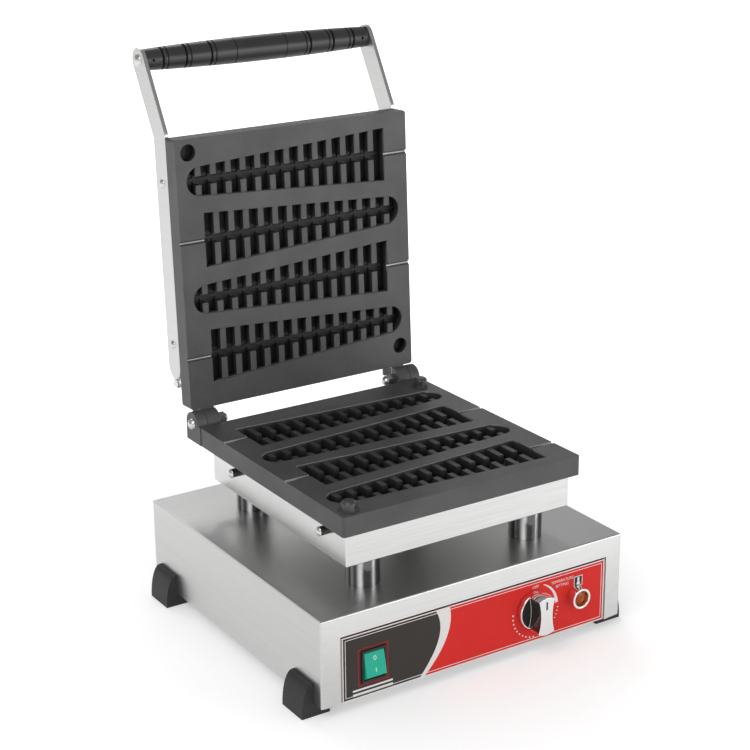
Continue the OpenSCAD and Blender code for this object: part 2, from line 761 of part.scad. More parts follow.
// The fins of one mould, on both sides of the channel
module mould_fins() {
    for (i = [0 : fin_count - 1], sy = [-1, 1])
        translate([fin_first + i * fin_pitch - fin_t / 2, sy > 0 ? channel_w / 2 : -wide_w / 2 - cut])
            square([fin_t, wide_w / 2 + cut - channel_w / 2]);
}

// The low ridge along a mould and its cross ribs between facing fins
module mould_ridge() {
    translate([-cut, -ridge_w / 2]) square([mould_l + 2 * cut, ridge_w]);
    for (i = [0 : fin_count - 1])
        translate([fin_first + i * fin_pitch - ridge_w / 2, -channel_w / 2 - cut])
            square([ridge_w, channel_w + 2 * cut]);
}

// What one mould takes out of a plate whose face lies at z = 0
module mould_cut() {
    translate([0, 0, -fin_sink]) linear_extrude(fin_sink + cut) mould_outline();
    translate([0, 0, -mould_depth + ridge_h]) linear_extrude(mould_depth - ridge_h - fin_sink + 0.5)
        difference() {
            mould_outline();
            mould_fins();
        }
    translate([0, 0, -mould_depth]) linear_extrude(ridge_h + 0.5) difference() {
        mould_outline();
        mould_fins();
        mould_ridge();
    }
    bar_x(-wide_margin - cut, cut, stick_r);
}

// Moulds in alternating directions, for a plate whose face lies at z = 0
module mould_set() {
    for (i = [0 : mould_count - 1])
        translate([0, plate_front + mould_front + i * mould_pitch, 0])
            mirror([i % 2 == 0 ? 1 : 0, 0, 0])
                translate([-plate_w / 2 + wide_margin, 0, 0]) mould_cut();
}

// Slab of a plate, face at z = 0, and the screw holes in its back
module plate_slab() {
    difference() {
        translate([0, plate_front + plate_d / 2, -plate_t])
            linear_extrude(plate_t) rounded_rect(plate_w, plate_d, plate_corner_r);
        clamp_screw_spots() translate([0, 0, -plate_t - cut])
            cylinder(h = cut + clamp_screw_in, r = clamp_screw_r + fit_clear);
        mould_set();
    }
}

// Places of the clamp screws, between the legs of the heating element
module clamp_screw_spots() {
    for (sx = [-1, 1], y = clamp_screw_ys)
        translate([sx * heater_pitch, y, 0]) children();
}

// Hinge knuckle of width w whose outer side lies at x = 0, joined to its plate
module knuckle(w, x, bottom, top) {
    translate([x - w / 2, 0, 0]) difference() {
        union() {
            translate([0, hinge_y, hinge_z]) across(w) circle(knuckle_r);
            translate([-w / 2, plate_rear - plate_corner_r, bottom])
                cube([w, hinge_y - plate_rear + plate_corner_r, top - bottom]);
        }
        translate([0, hinge_y, hinge_z]) bar_x(-w, w, pivot_r + pivot_clear);
    }
}

// Lower cast plate: slab with moulds, peg seats and the two outer hinge knuckles
module lower_plate() {
    color([0.25, 0.25, 0.26]) base_frame() difference() {
        union() {
            translate([0, 0, plate_face]) plate_slab();
            for (sx = [0, 1]) mirror([sx, 0, 0]) {
                knuckle(outer_knuckle_w, hinge_x, plate_z, plate_face);
                translate([hinge_x - outer_knuckle_w, hinge_y - 0.5, plate_z])
                    difference() {
                        cube([outer_knuckle_w, knuckle_r + 0.5, plate_t]);
                        translate([0, 0.5, hinge_z - plate_z])
                            bar_x(-cut, outer_knuckle_w + cut, pivot_r + pivot_clear);
                    }
            }
        }
        for (p = peg_spots) translate([p[0], p[1], plate_face - peg_foot_t])
            cylinder(h = peg_foot_t + cut, r = peg_foot_r + fit_clear);
    }
}

// Tapered pegs that centre the upper plate
module locating_pegs() {
    color([0.3, 0.3, 0.31]) base_frame() for (p = peg_spots) translate([p[0], p[1], plate_face]) {
        translate([0, 0, -peg_foot_t]) cylinder(h = peg_foot_t, r = peg_foot_r);
        cylinder(h = peg_h - peg_chamfer, r1 = peg_r, r2 = peg_r - peg_taper);
        translate([0, 0, peg_h - peg_chamfer]) cylinder(h = peg_chamfer, r1 = peg_r - peg_taper, r2 = peg_top_r);
    }
}

// Upper cast plate: the same moulds, sockets for the pegs and the inner hinge knuckles
module upper_plate() {
    knuckle_x = hinge_x - outer_knuckle_w - knuckle_gap;
    color([0.25, 0.25, 0.26]) lid_frame() difference() {
        union() {
            translate([0, 0, lid_face]) mirror([0, 0, 1]) plate_slab();
            for (sx = [0, 1]) mirror([sx, 0, 0])
                knuckle(inner_knuckle_w, knuckle_x, lid_face, lid_back);
        }
        for (p = peg_spots) translate([p[0], p[1], lid_face - cut])
            cylinder(h = peg_h + 1.2 + cut, r = peg_r + socket_clear);
    }
}

// Heating -------------------------------------------------------------

// Tubular element in the plane z = 0: four legs, three bends and two terminal pins
module element() {
    for (i = [0 : 3])
        translate([-heater_x + i * heater_pitch, 0, 0]) bar_y(heater_y0, heater_y1, heater_r);
    for (x = [-heater_pitch, heater_pitch])
        translate([x, heater_y0, 0]) element_bend(180);
    translate([0, heater_y1, 0]) element_bend(0);
    for (sx = [-1, 1])
        translate([sx * heater_x, 0, 0]) bar_y(heater_y1, heater_y1 + terminal_l, lead_r);
}

// Half turn of the element, bulging to the rear when the turn is 0
module element_bend(turn) {
    rotate([0, 0, turn]) rotate_extrude(angle = 180)
        translate([heater_pitch / 2, 0]) circle(heater_r, $fn = 32);
}

// Sheet that presses the element against its plate; its face lies at z = 0
module clamp_sheet() {
    difference() {
        translate([-clamp_w / 2, clamp_front, 0]) cube([clamp_w, clamp_rear - clamp_front, clamp_t]);
        clamp_screw_spots() translate([0, 0, -cut]) cylinder(h = clamp_t + 2 * cut, r = clamp_screw_r + hole_clear);
    }
}

// Screws through the clamp sheet at z = 0 into the plate above it
module clamp_screw_set() {
    clamp_screw_spots() {
        mirror([0, 0, 1]) cylinder(h = 2.5, r = 1.8 * clamp_screw_r, $fn = 6);
        cylinder(h = clamp_t + 2 * heater_r + clamp_screw_in - 0.5, r = clamp_screw_r);
    }
}

// Insulation board with holes round the standoff bolts, from z0 to z1
module board(w, z0, z1) {
    front = tray_front + sheet_t + board_gap;
    rear = tray_rear - sheet_t - board_gap;
    inner_w = w - 2 * sheet_t - 2 * board_gap;
    translate([-inner_w / 2, front, z0]) cube([inner_w, rear - front, z1 - z0]);
}

module lower_heater() {
    color("dimgray") base_frame() translate([0, 0, plate_z - heater_r]) element();
}

module upper_heater() {
    color("dimgray") lid_frame() translate([0, 0, lid_back + heater_r]) element();
}

module lower_clamp_plate() {
    color("silver") base_frame() translate([0, 0, plate_z - 2 * heater_r - clamp_t]) clamp_sheet();
}

module upper_clamp_plate() {
    color("silver") lid_frame() translate([0, 0, lid_back + 2 * heater_r]) clamp_sheet();
}

module lower_clamp_screws() {
    color("silver") base_frame() translate([0, 0, plate_z - 2 * heater_r - clamp_t]) clamp_screw_set();
}

module upper_clamp_screws() {
    color("silver") lid_frame() translate([0, 0, lid_back + 2 * heater_r + clamp_t])
        mirror([0, 0, 1]) clamp_screw_set();
}

// Ceramic fibre board in the tray, open round the standoff bolts and the clamp screws
module lower_insulation() {
    color("ivory") base_frame() difference() {
        board(tray_w, board_bottom, board_top);
        for (sx = [-1, 1], y = standoff_ys) translate([sx * standoff_x, y, board_bottom - cut])
            cylinder(h = board_top - board_bottom + 2 * cut, r = standoff_r - standoff_wall);
        clamp_screw_spots() translate([0, 0, board_top - 4])
            cylinder(h = 4 + cut, r = 1.8 * clamp_screw_r + 1);
        for (sx = [-1, 1], y = screw_ys) mirror([sx < 0 ? 1 : 0, 0, 0])
            translate([0, y, plate_z - tray_screw_drop])
                bar_x(tray_w / 2 - 10, tray_w / 2, shank_r + hole_clear);
    }
}

// Ceramic fibre board in the lid cover
module upper_insulation() {
    color("ivory") lid_frame() difference() {
        board(cover_w, lid_board_bottom, lid_board_top);
        clamp_screw_spots() translate([0, 0, lid_board_bottom - cut])
            cylinder(h = 4 + cut, r = 1.8 * clamp_screw_r + 1);
        for (sx = [-1, 1], y = arm_screw_ys) mirror([sx < 0 ? 1 : 0, 0, 0])
            translate([0, y, arm_z]) bar_x(cover_w / 2 - screw_in - 2, cover_w / 2, shank_r + hole_clear);
        for (sx = [-1, 1]) mirror([sx < 0 ? 1 : 0, 0, 0])
            translate([0, cover_screw_y, arm_z]) bar_x(cover_w / 2 - screw_in - 2, cover_w / 2, shank_r + hole_clear);
        translate([-lid_gland_x, tray_rear - lid_gland_back, lid_board_bottom - cut])
            cylinder(h = cover_h, r = lid_gland_bore_r + 6);
    }
}

// Thermostat bulb against the lower plate, between the legs of the heating element
module thermostat_bulb() {
    color("chocolate") base_frame()
        translate([0, 0, plate_z - bulb_r]) bar_y(bulb_y - bulb_l / 2, bulb_y + bulb_l / 2, bulb_r);
}

// Thin tube from the bulb, under the heater's bend and through a standoff, to the thermostat
module capillary_tube() {
    bulb_z = plate_z - bulb_r;
    under_z = (board_top + plate_z - 2 * heater_r) / 2;
    hole = lead_holes[2];
    back = panel_back + thermostat_d;
    color("chocolate") base_frame() tube_run([
        [0, bulb_y + bulb_l / 2, bulb_z],
        [0, clamp_rear + 5, bulb_z],
        [0, clamp_rear + 14, under_z],
        [hole[0], hole[1], under_z],
        [hole[0], hole[1], cabinet_top - 14],
        [knob_x, back + 20, control_z],
        [knob_x, back, control_z]
    ], capillary_r);
}

// Leads from the terminal block through the rear standoffs to both ends of the element
module heater_leads() {
    pin_z = plate_z - heater_r;
    color("firebrick") base_frame() for (i = [0, 1]) {
        side = i == 0 ? -1 : 1;
        hole = lead_holes[i];
        low = cabinet_top - 14 - 12 * i;
        tube_run([
            [side * heater_x, heater_y1 + terminal_l, pin_z],
            [side * heater_x, heater_y1 + terminal_l + 10, pin_z],
            [hole[0], hole[1], pin_z],
            [hole[0], hole[1], low],
            [block_x + 18 * i, block_y + block_d + 15, block_lead_z],
            [block_x + 18 * i, block_y + block_d, block_lead_z]
        ], lead_r - 0.3);
    }
}

// Ceramic block on the cabinet's floor where the mains and the leads meet
module terminal_block() {
    color("white") base_frame() difference() {
        translate([block_x - 30, block_y, floor_gap + sheet_t]) cube([60, block_d, block_h]);
        for (i = [-1 : 1])
            translate([block_x + 18 * i, block_y + 7, floor_gap + sheet_t + block_h - 8])
                cylinder(h = 8 + cut, r = 3);
    }
}

// Hinge ---------------------------------------------------------------

// Bolts through both knuckles, with a dome head outside
module hinge_bolts() {
    grip = outer_knuckle_w + knuckle_gap + inner_knuckle_w;
    color("silver") base_frame() for (sx = [0, 1]) mirror([sx, 0, 0])
        translate([-hinge_x, hinge_y, hinge_z]) {
            rotate([0, -90, 0]) dome_head(1.4 * pivot_r, 1.1 * pivot_r);
            bar_x(0, grip + 1.9 * pivot_r, pivot_r);
        }
}

// Domed nuts on the hinge bolts, inside the knuckles
module hinge_nuts() {
    seat = hinge_x - outer_knuckle_w - knuckle_gap - inner_knuckle_w - knuckle_gap;
    hex_l = 2.1 * pivot_r;
    color("silver") base_frame() for (sx = [0, 1]) mirror([sx, 0, 0])
        translate([-seat, hinge_y, hinge_z]) difference() {
            union() {
                rotate([0, 90, 0]) cylinder(h = hex_l, r = 1.6 * pivot_r, $fn = 6);
                translate([hex_l, 0, 0]) rotate([0, 90, 0]) dome_head(1.3 * pivot_r, 1.1 * pivot_r);
            }
            bar_x(-cut, 1.9 * pivot_r, pivot_r + fit_clear);
        }
}

// Controls ------------------------------------------------------------

// Switch housing: bezel in front, open box behind with bores for the rocker's stubs
module switch_housing() {
    floor_y = label_y + housing_d;
    inner_w = housing_w - 2 * housing_wall;
    inner_h = housing_h - 2 * housing_wall;
    color([0.1, 0.1, 0.1]) base_frame() translate([switch_x, 0, switch_z]) difference() {
        union() {
            translate([-bezel_w / 2, label_y - bezel_t, -bezel_h / 2]) cube([bezel_w, bezel_t, bezel_h]);
            translate([-housing_w / 2, label_y - 0.5, -housing_h / 2]) cube([housing_w, housing_d + 0.5, housing_h]);
        }
        translate([-inner_w / 2, label_y - bezel_t - cut, -inner_h / 2])
            cube([inner_w, housing_d + bezel_t + cut - housing_wall, inner_h]);
        translate([0, pivot_y, 0]) bar_x(-bezel_w, bezel_w, stub_r + fit_clear);
        for (z = [-8, 0, 8])
            translate([-2.5, floor_y - housing_wall - cut, z - 0.5]) cube([5, housing_wall + 2 * cut, 1]);
    }
}

// Three blade terminals at the back of the switch
module switch_terminals() {
    floor_y = label_y + housing_d;
    color("goldenrod") base_frame() translate([switch_x, 0, switch_z]) for (z = [-8, 0, 8])
        translate([-2.4, floor_y - housing_wall - 2, z - 0.4]) cube([4.8, housing_wall + 10, 0.8]);
}

// Green rocker with its two pivot stubs, its upper half pressed in
module rocker() {
    stub_l = rocker_w / 2 + rocker_side_gap + 0.8 * housing_wall;
    color([0.05, 0.72, 0.6]) base_frame() translate([switch_x, pivot_y, switch_z]) {
        across(rocker_w) rotate(-rocker_swing) intersection() {
            circle(rocker_sweep_r);
            translate([-rocker_reach, -rocker_sweep_r]) square([rocker_reach + 3, 2 * rocker_sweep_r]);
        }
        bar_x(-stub_l, stub_l, stub_r);
    }
}

// Thermostat body behind the panel, with its threaded bush through the panel
module thermostat_body() {
    color("lightgray") base_frame() translate([knob_x, 0, control_z]) difference() {
        union() {
            bar_y(panel_back, panel_back + thermostat_d, thermostat_dia / 2);
            bar_y(label_y - bush_nut_t - 0.5, panel_back + 0.5, bush_r);
        }
        bar_y(label_y - bush_nut_t - cut, panel_back + thermostat_d - 4, spindle_r + fit_clear);
    }
}

// Slim nut that holds the bush against the label, inside the knob's base
module thermostat_bush_nut() {
    color("silver") base_frame() translate([knob_x, 0, control_z]) difference() {
        rotate([90, 0, 0]) translate([0, 0, -label_y]) cylinder(h = bush_nut_t, r = bush_r + 3, $fn = 6);
        bar_y(label_y - bush_nut_t - cut, label_y + cut, bush_r + fit_clear);
    }
}

// Spindle that turns with the knob
module thermostat_spindle() {
    color("silver") base_frame() translate([knob_x, 0, control_z])
        bar_y(label_y - knob_h + 6, panel_back + thermostat_d - 4.5, spindle_r);
}

// Chrome knob: round base and a waisted grip bar, bored for the spindle
module control_knob() {
    front = label_y - knob_h;
    back = label_y - knob_gap;
    scoop_x = knob_waist / 2 + scoop_r;
    color("silver") base_frame() translate([knob_x, 0, control_z]) difference() {
        bar_y(front, back, knob_r);
        for (sx = [-1, 1])
            translate([sx * scoop_x, 0, 0]) bar_y(front - cut, back - knob_base_t, scoop_r);
        bar_y(label_y - knob_h + 6, back + cut, spindle_r);
        bar_y(label_y - bush_nut_t - 1.6, back + cut, bush_r + 4);
        translate([-0.9, front - cut, knob_r - 12]) cube([1.8, cut + 0.6, 8]);
    }
}

// Dark mark let into the knob's grip bar
module knob_pointer() {
    front = label_y - knob_h;
    color([0.2, 0.2, 0.22]) base_frame() translate([knob_x, 0, control_z])
        translate([-0.9, front + 0.1, knob_r - 12]) cube([1.8, 0.5, 8]);
}

// Bright ring of the pilot lamp, with its threaded neck
module lamp_ring() {
    front = label_y - lamp_h;
    color("silver") base_frame() translate([lamp_x, 0, control_z]) difference() {
        bar_y(front, label_y, lamp_r);
        bar_y(front - cut, label_y - 1.5, lens_r + fit_clear);
        bar_y(label_y - 2.5, label_y + cut, lamp_body_r - 1);
    }
}

// Amber lens inside the ring
module lamp_lens() {
    dome = 3;
    seat = label_y - 1.5;
    top = label_y - lamp_h + lens_sink;
    color([0.9, 0.35, 0.08]) base_frame() translate([lamp_x, 0, control_z]) {
        bar_y(top + dome, seat, lens_r);
        translate([0, top + dome, 0]) rotate([90, 0, 0]) dome_head(lens_r, dome);
    }
}

// Lamp body behind the panel, with its nut
module lamp_body() {
    color([0.15, 0.15, 0.15]) base_frame() translate([lamp_x, 0, control_z]) {
        bar_y(label_y, label_y + lamp_body_l, lamp_body_r);
        rotate([-90, 0, 0]) translate([0, 0, panel_back]) cylinder(h = 4, r = lamp_body_r + 3.5, $fn = 6);
    }
}

// Cable gland along +z from the outer face of a sheet, with its nut on the inner face
module gland(bore, neck, out, inside) {
    difference() {
        union() {
            cylinder(h = 5, r = neck + 3, $fn = 6);
            translate([0, 0, 5]) cylinder(h = out - 5, r = neck + 1);
            translate([0, 0, -inside]) cylinder(h = inside + 0.5, r = neck);
        }
        translate([0, 0, -inside - cut]) cylinder(h = out + inside + 2 * cut, r = bore);
    }
    translate([0, 0, -sheet_t - 4]) difference() {
        cylinder(h = 4, r = neck + 3, $fn = 6);
        translate([0, 0, -cut]) cylinder(h = 4 + 2 * cut, r = neck + fit_clear);
    }
}

// Mains cable gland in the rear panel
module mains_gland() {
    color([0.1, 0.1, 0.1]) base_frame()
        translate([gland_x, cabinet_d - sheet_t, floor_gap + gland_rise]) rotate([-90, 0, 0])
            gland(gland_bore_r, gland_bore_r + 3, gland_out + sheet_t, sheet_t + 8);
}

// Gland in the rear panel for the lid's lead
module base_lid_gland() {
    color([0.1, 0.1, 0.1]) base_frame()
        translate([-lid_gland_x, cabinet_d - sheet_t, floor_gap + gland_rise]) rotate([-90, 0, 0])
            gland(lid_gland_bore_r, lid_gland_bore_r + 2.5, 14, sheet_t + 8);
}

// Gland on the lid cover for the lid's lead
module lid_gland() {
    color([0.1, 0.1, 0.1]) lid_frame() translate([-lid_gland_x, tray_rear - lid_gland_back, cover_top])
        gland(lid_gland_bore_r, lid_gland_bore_r + 2.5, 14, sheet_t + 6);
}

// Lid -----------------------------------------------------------------

// Folded steel cover over the upper plate's back
module lid_cover() {
    cover_d = tray_rear - tray_front;
    color("gainsboro") lid_frame() difference() {
        translate([-cover_w / 2, tray_front, lid_back]) cube([cover_w, cover_d, cover_h]);
        translate([-cover_w / 2 + sheet_t, tray_front + sheet_t, lid_back - cut])
            cube([cover_w - 2 * sheet_t, cover_d - 2 * sheet_t, cover_h - sheet_t + cut]);
        for (y = concat(arm_screw_ys, [cover_screw_y]))
            translate([0, y, arm_z]) bar_x(-cover_w, cover_w, shank_r + fit_clear);
        translate([-lid_gland_x, tray_rear - lid_gland_back, cover_top - sheet_t - cut])
            cylinder(h = sheet_t + 2 * cut, r = lid_gland_bore_r + 2.5 + fit_clear);
    }
}

// Flat arm on the side sx: straight along the cover, bent up to the handle
module arm(sx) {
    color("gainsboro") lid_frame() translate([sx * (arm_x + arm_t / 2), 0, 0]) difference() {
        across(arm_t) {
            translate([bend_y, arm_z - arm_w / 2]) square([arm_rear - bend_y, arm_w]);
            translate([arm_rear, arm_z]) circle(arm_w / 2);
            translate([bend_y, arm_z]) circle(arm_w / 2 + 0.1);
            translate([bend_y, arm_z]) rotate(180 - arm_slope) {
                translate([0, -arm_w / 2]) square([arm_slant, arm_w]);
                translate([arm_slant, 0]) circle(arm_w / 2);
            }
        }
        for (y = arm_screw_ys) translate([0, y, arm_z]) bar_x(-arm_t, arm_t, shank_r + fit_clear);
        translate([0, handle_y, handle_z]) bar_x(-arm_t, arm_t, bolt_r + fit_clear);
    }
}

// Dome head screws that hold the arms to the cover
module arm_screws() {
    color("silver") lid_frame() for (sx = [0, 1], y = arm_screw_ys)
        mirror([sx, 0, 0]) translate([-arm_x - arm_t, y, arm_z])
            side_screw(dome_r, dome_h, shank_r, arm_t + screw_in);
}

// Hexagon head screws in the cover's sides behind the arms
module cover_screws() {
    color("silver") lid_frame() for (sx = [0, 1]) mirror([sx, 0, 0])
        translate([-arm_x, cover_screw_y, arm_z]) {
            rotate([0, -90, 0]) cylinder(h = 3.4, r = 4.4, $fn = 6);
            bar_x(0, screw_in, shank_r);
        }
}

// Radius of the barrel-shaped grip at a share s of its half length
function grip_radius(s) = grip_r - (grip_r - grip_end_r) * s * s;

// Half profile of the grip: stretches of the barrel, with grooves between them
function grip_profile() =
    let (marks = concat([0], groove_spots, [1]))
    [for (i = [0 : len(marks) - 2]) each
        let (a = marks[i] + (i > 0 ? groove_w / 2 / grip_half : 0),
            b = marks[i + 1] - (i < len(marks) - 2 ? groove_w / 2 / grip_half : 0),
            low = grip_radius(b) - groove_d)
        concat(
            [for (k = [0 : 4]) let (s = a + (b - a) * k / 4) [grip_radius(s), s * grip_half]],
            i < len(marks) - 2 ? [[low, b * grip_half], [low, b * grip_half + groove_w]] : []
        )];

// Black moulded grip, bored for the rod, with a pin hole near each end
module handle_grip() {
    right = grip_profile();
    left = [for (i = [len(right) - 1 : -1 : 1]) [right[i][0], -right[i][1]]];
    bore = rod_r + fit_clear;
    color([0.1, 0.1, 0.1]) lid_frame() translate([0, handle_y, handle_z]) difference() {
        rotate([0, 90, 0]) rotate_extrude()
            polygon(concat([[bore, -grip_half]], left, right, [[bore, grip_half]]));
        for (sx = [-1, 1])
            translate([sx * (grip_half - 7.5), 0, -grip_r]) cylinder(h = grip_r - rod_r, r = pin_hole_r);
    }
}

// Steel rod inside the grip
module handle_rod() {
    color("silver") lid_frame() translate([0, handle_y, handle_z]) difference() {
        bar_x(-cover_w / 2, cover_w / 2, rod_r);
        for (sx = [0, 1]) mirror([sx, 0, 0]) bar_x(-cover_w, -cover_w / 2 + 14, bolt_r + fit_clear);
    }
}

// Dome head screws through the arms into the rod
module handle_screws() {
    color("silver") lid_frame() for (sx = [0, 1]) mirror([sx, 0, 0])
        translate([-arm_x - arm_t, handle_y, handle_z]) side_screw(2.2 * bolt_r, 1.2 * bolt_r, bolt_r, arm_t + handle_screw_in);
}

cabinet_shell();
bottom_plate();
rear_panel();
rear_screws();
front_panel();
control_label();
panel_clamps();
foot(-1, 0);  // foot_front_left
foot(1, 0);  // foot_front_right
foot(-1, 1);  // foot_rear_left
foot(1, 1);  // foot_rear_right
foot_screws();
standoff(-1, 0);  // standoff_front_left
standoff(1, 0);  // standoff_front_right
standoff(-1, 1);  // standoff_rear_left
standoff(1, 1);  // standoff_rear_right
standoff_bolts();
standoff_nuts();
heater_tray();
tray_spacers();
tray_screws();
lower_plate();
locating_pegs();
lower_heater();
lower_clamp_plate();
lower_clamp_screws();
lower_insulation();
hinge_bolts();
hinge_nuts();
switch_housing();
switch_terminals();
rocker();
thermostat_body();
thermostat_bush_nut();
thermostat_bulb();
capillary_tube();
thermostat_spindle();
control_knob();
knob_pointer();
lamp_ring();
lamp_lens();
lamp_body();
terminal_block();
heater_leads();
mains_gland();
base_lid_gland();
upper_plate();
lid_cover();
upper_heater();
upper_clamp_plate();
upper_clamp_screws();
upper_insulation();
arm(-1);  // arm_left
arm(1);  // arm_right
arm_screws();
cover_screws();
handle_grip();
handle_rod();
handle_screws();
lid_gland();
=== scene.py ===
import json
import math

import bmesh
import bpy
from mathutils import Matrix, Vector


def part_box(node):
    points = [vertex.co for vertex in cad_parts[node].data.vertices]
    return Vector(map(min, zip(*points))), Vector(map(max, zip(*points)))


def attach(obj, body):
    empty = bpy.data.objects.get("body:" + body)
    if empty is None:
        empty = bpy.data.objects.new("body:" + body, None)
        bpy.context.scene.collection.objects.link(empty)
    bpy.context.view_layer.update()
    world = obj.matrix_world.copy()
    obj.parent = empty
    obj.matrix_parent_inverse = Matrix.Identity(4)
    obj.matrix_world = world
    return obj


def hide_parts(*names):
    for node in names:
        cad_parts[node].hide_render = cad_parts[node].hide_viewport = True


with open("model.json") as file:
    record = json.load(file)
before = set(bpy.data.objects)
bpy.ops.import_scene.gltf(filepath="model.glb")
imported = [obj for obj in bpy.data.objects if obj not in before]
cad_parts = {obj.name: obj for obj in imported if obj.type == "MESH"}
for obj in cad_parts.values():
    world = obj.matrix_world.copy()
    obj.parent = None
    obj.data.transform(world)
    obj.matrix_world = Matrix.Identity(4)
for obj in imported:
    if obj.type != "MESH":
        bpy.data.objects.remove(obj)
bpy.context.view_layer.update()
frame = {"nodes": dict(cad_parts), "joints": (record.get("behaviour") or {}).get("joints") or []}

MM = 0.001


# Camera: looks down on the front left corner from standing height, with a long lens.
azimuth, elevation, tilt = math.radians(-32.62), math.radians(19.19), -0.00934
standpoint = Vector((-0.86576, -1.369469, 0.79570))
back = Vector((math.sin(azimuth) * math.cos(elevation),
               -math.cos(azimuth) * math.cos(elevation),
               math.sin(elevation)))
level = Vector((math.cos(azimuth), math.sin(azimuth), 0))
upright = back.cross(level)
right = math.cos(tilt) * level + math.sin(tilt) * upright
up = -math.sin(tilt) * level + math.cos(tilt) * upright


def into_scene(name, data):
    made = bpy.data.objects.new(name, data)
    bpy.context.scene.collection.objects.link(made)
    return made


camera = into_scene("camera", bpy.data.cameras.new("camera"))
camera.data.lens = 86.92
camera.data.sensor_width = 36
camera.data.clip_start, camera.data.clip_end = 0.05, 50
camera.matrix_world = Matrix.Translation(standpoint) @ Matrix((right, up, back)).transposed().to_4x4()
bpy.context.scene.camera = camera
bpy.context.scene.view_settings.view_transform = "Standard"


# Studio: a pale floor that keeps the machine's shadow, three soft lamps, and a white surround
# that grows darker overhead only where metal mirrors it.
def new_material(name):
    made = bpy.data.materials.new(name)
    made.use_nodes = True
    tree = made.node_tree
    return made, tree.nodes, tree.links, tree.nodes["Principled BSDF"]


def feed(links, given, socket):
    if isinstance(given, bpy.types.NodeSocket):
        links.new(given, socket)
    else:
        socket.default_value = given


def reckon(nodes, links, operation, *given):
    made = nodes.new("ShaderNodeMath")
    made.operation = operation
    for value, socket in zip(given, made.inputs):
        feed(links, value, socket)
    return made.outputs[0]


def seen_directly(nodes, links):
    ray = nodes.new("ShaderNodeLightPath").outputs
    either = reckon(nodes, links, "MAXIMUM", ray["Is Camera Ray"], ray["Is Glossy Ray"])
    return reckon(nodes, links, "MAXIMUM", either, ray["Is Transmission Ray"])


def mesh_of(name, bm):
    mesh = bpy.data.meshes.new(name)
    bm.to_mesh(mesh)
    bm.free()
    return mesh


def build_floor():
    bm = bmesh.new()
    bmesh.ops.create_grid(bm, x_segments=1, y_segments=1, size=9)
    floor = into_scene("floor", mesh_of("floor", bm))
    made, nodes, links, surface = new_material("studio_floor")
    surface.inputs["Base Color"].default_value = (0.80, 0.80, 0.80, 1)
    surface.inputs["Roughness"].default_value = 0.7
    surface.inputs["Specular IOR Level"].default_value = 0.2
    surface.inputs["Emission Color"].default_value = (1, 1, 1, 1)
    # The floor glows white where seen directly and, at a lower share, in reflections. The glow is weaker
    # near the machine, a painted shade round it, so the lamps' shadow shows there.
    place = nodes.new("ShaderNodeTexCoord")
    distance = nodes.new("ShaderNodeVectorMath")
    distance.operation = "LENGTH"
    links.new(place.outputs["Object"], distance.inputs[0])
    fade = nodes.new("ShaderNodeMapRange")
    fade.interpolation_type = "SMOOTHSTEP"
    fade.inputs["From Min"].default_value, fade.inputs["From Max"].default_value = 0.15, 1.0
    fade.inputs["To Min"].default_value, fade.inputs["To Max"].default_value = 0.34, 1.0
    links.new(distance.outputs["Value"], fade.inputs["Value"])
    ray = nodes.new("ShaderNodeLightPath").outputs
    glossy_share = 0.6
    mirrored = reckon(nodes, links, "MULTIPLY", ray["Is Glossy Ray"], glossy_share)
    direct = reckon(nodes, links, "MAXIMUM", ray["Is Camera Ray"], ray["Is Transmission Ray"])
    seen = reckon(nodes, links, "MAXIMUM", direct, mirrored)
    glow = reckon(nodes, links, "MULTIPLY", seen, fade.outputs[0])
    links.new(glow, surface.inputs["Emission Strength"])
    floor.data.materials.append(made)


def build_surround():
    world = bpy.data.worlds.new("studio")
    bpy.context.scene.world = world
    world.use_nodes = True
    nodes, links = world.node_tree.nodes, world.node_tree.links
    lit = nodes["Background"]
    lit.inputs["Color"].default_value = (1, 1, 1, 1)
    lit.inputs["Strength"].default_value = 0.5
    seen = nodes.new("ShaderNodeBackground")
    seen.inputs["Color"].default_value = (1, 1, 1, 1)
    seen.inputs["Strength"].default_value = 1.0
    overhead = nodes.new("ShaderNodeBackground")
    overhead.inputs["Strength"].default_value = 1.0
    place = nodes.new("ShaderNodeTexCoord")
    split = nodes.new("ShaderNodeSeparateXYZ")
    links.new(place.outputs["Generated"], split.inputs[0])
    shade = nodes.new("ShaderNodeValToRGB")
    shade.color_ramp.interpolation = "EASE"
    shade.color_ramp.elements[0].position, shade.color_ramp.elements[1].position = 0.04, 0.34
    shade.color_ramp.elements[0].color = (1, 1, 1, 1)
    shade.color_ramp.elements[1].color = (0.32, 0.32, 0.32, 1)
    links.new(split.outputs["Z"], shade.inputs["Fac"])
    links.new(shade.outputs["Color"], overhead.inputs["Color"])
    mirrored = nodes.new("ShaderNodeMixShader")
    path = nodes.new("ShaderNodeLightPath")
    links.new(path.outputs["Is Glossy Ray"], mirrored.inputs[0])
    links.new(seen.outputs[0], mirrored.inputs[1])
    links.new(overhead.outputs[0], mirrored.inputs[2])
    mix = nodes.new("ShaderNodeMixShader")
    links.new(seen_directly(nodes, links), mix.inputs[0])
    links.new(lit.outputs[0], mix.inputs[1])
    links.new(mirrored.outputs[0], mix.inputs[2])
    links.new(mix.outputs[0], nodes["World Output"].inputs["Surface"])


def softbox(name, place, aim, size, watts):
    lamp = bpy.data.lights.new(name, "AREA")
    lamp.shape = "RECTANGLE"
    lamp.size, lamp.size_y = size
    lamp.energy = watts
    box = into_scene(name, lamp)
    box.location = place
    box.rotation_euler = (Vector(aim) - Vector(place)).to_track_quat("-Z", "Y").to_euler()


build_floor()
build_surround()
softbox("key_lamp", (-1.6, -1.3, 2.2), (0, 0, 0.2), (1.6, 1.6), 26)
softbox("fill_lamp", (1.25, -2.1, 0.50), (0, 0, 0.15), (1.3, 0.9), 12)
softbox("back_lamp", (0.4, 2.2, 2.2), (0, 0, 0.3), (2.0, 1.0), 20)


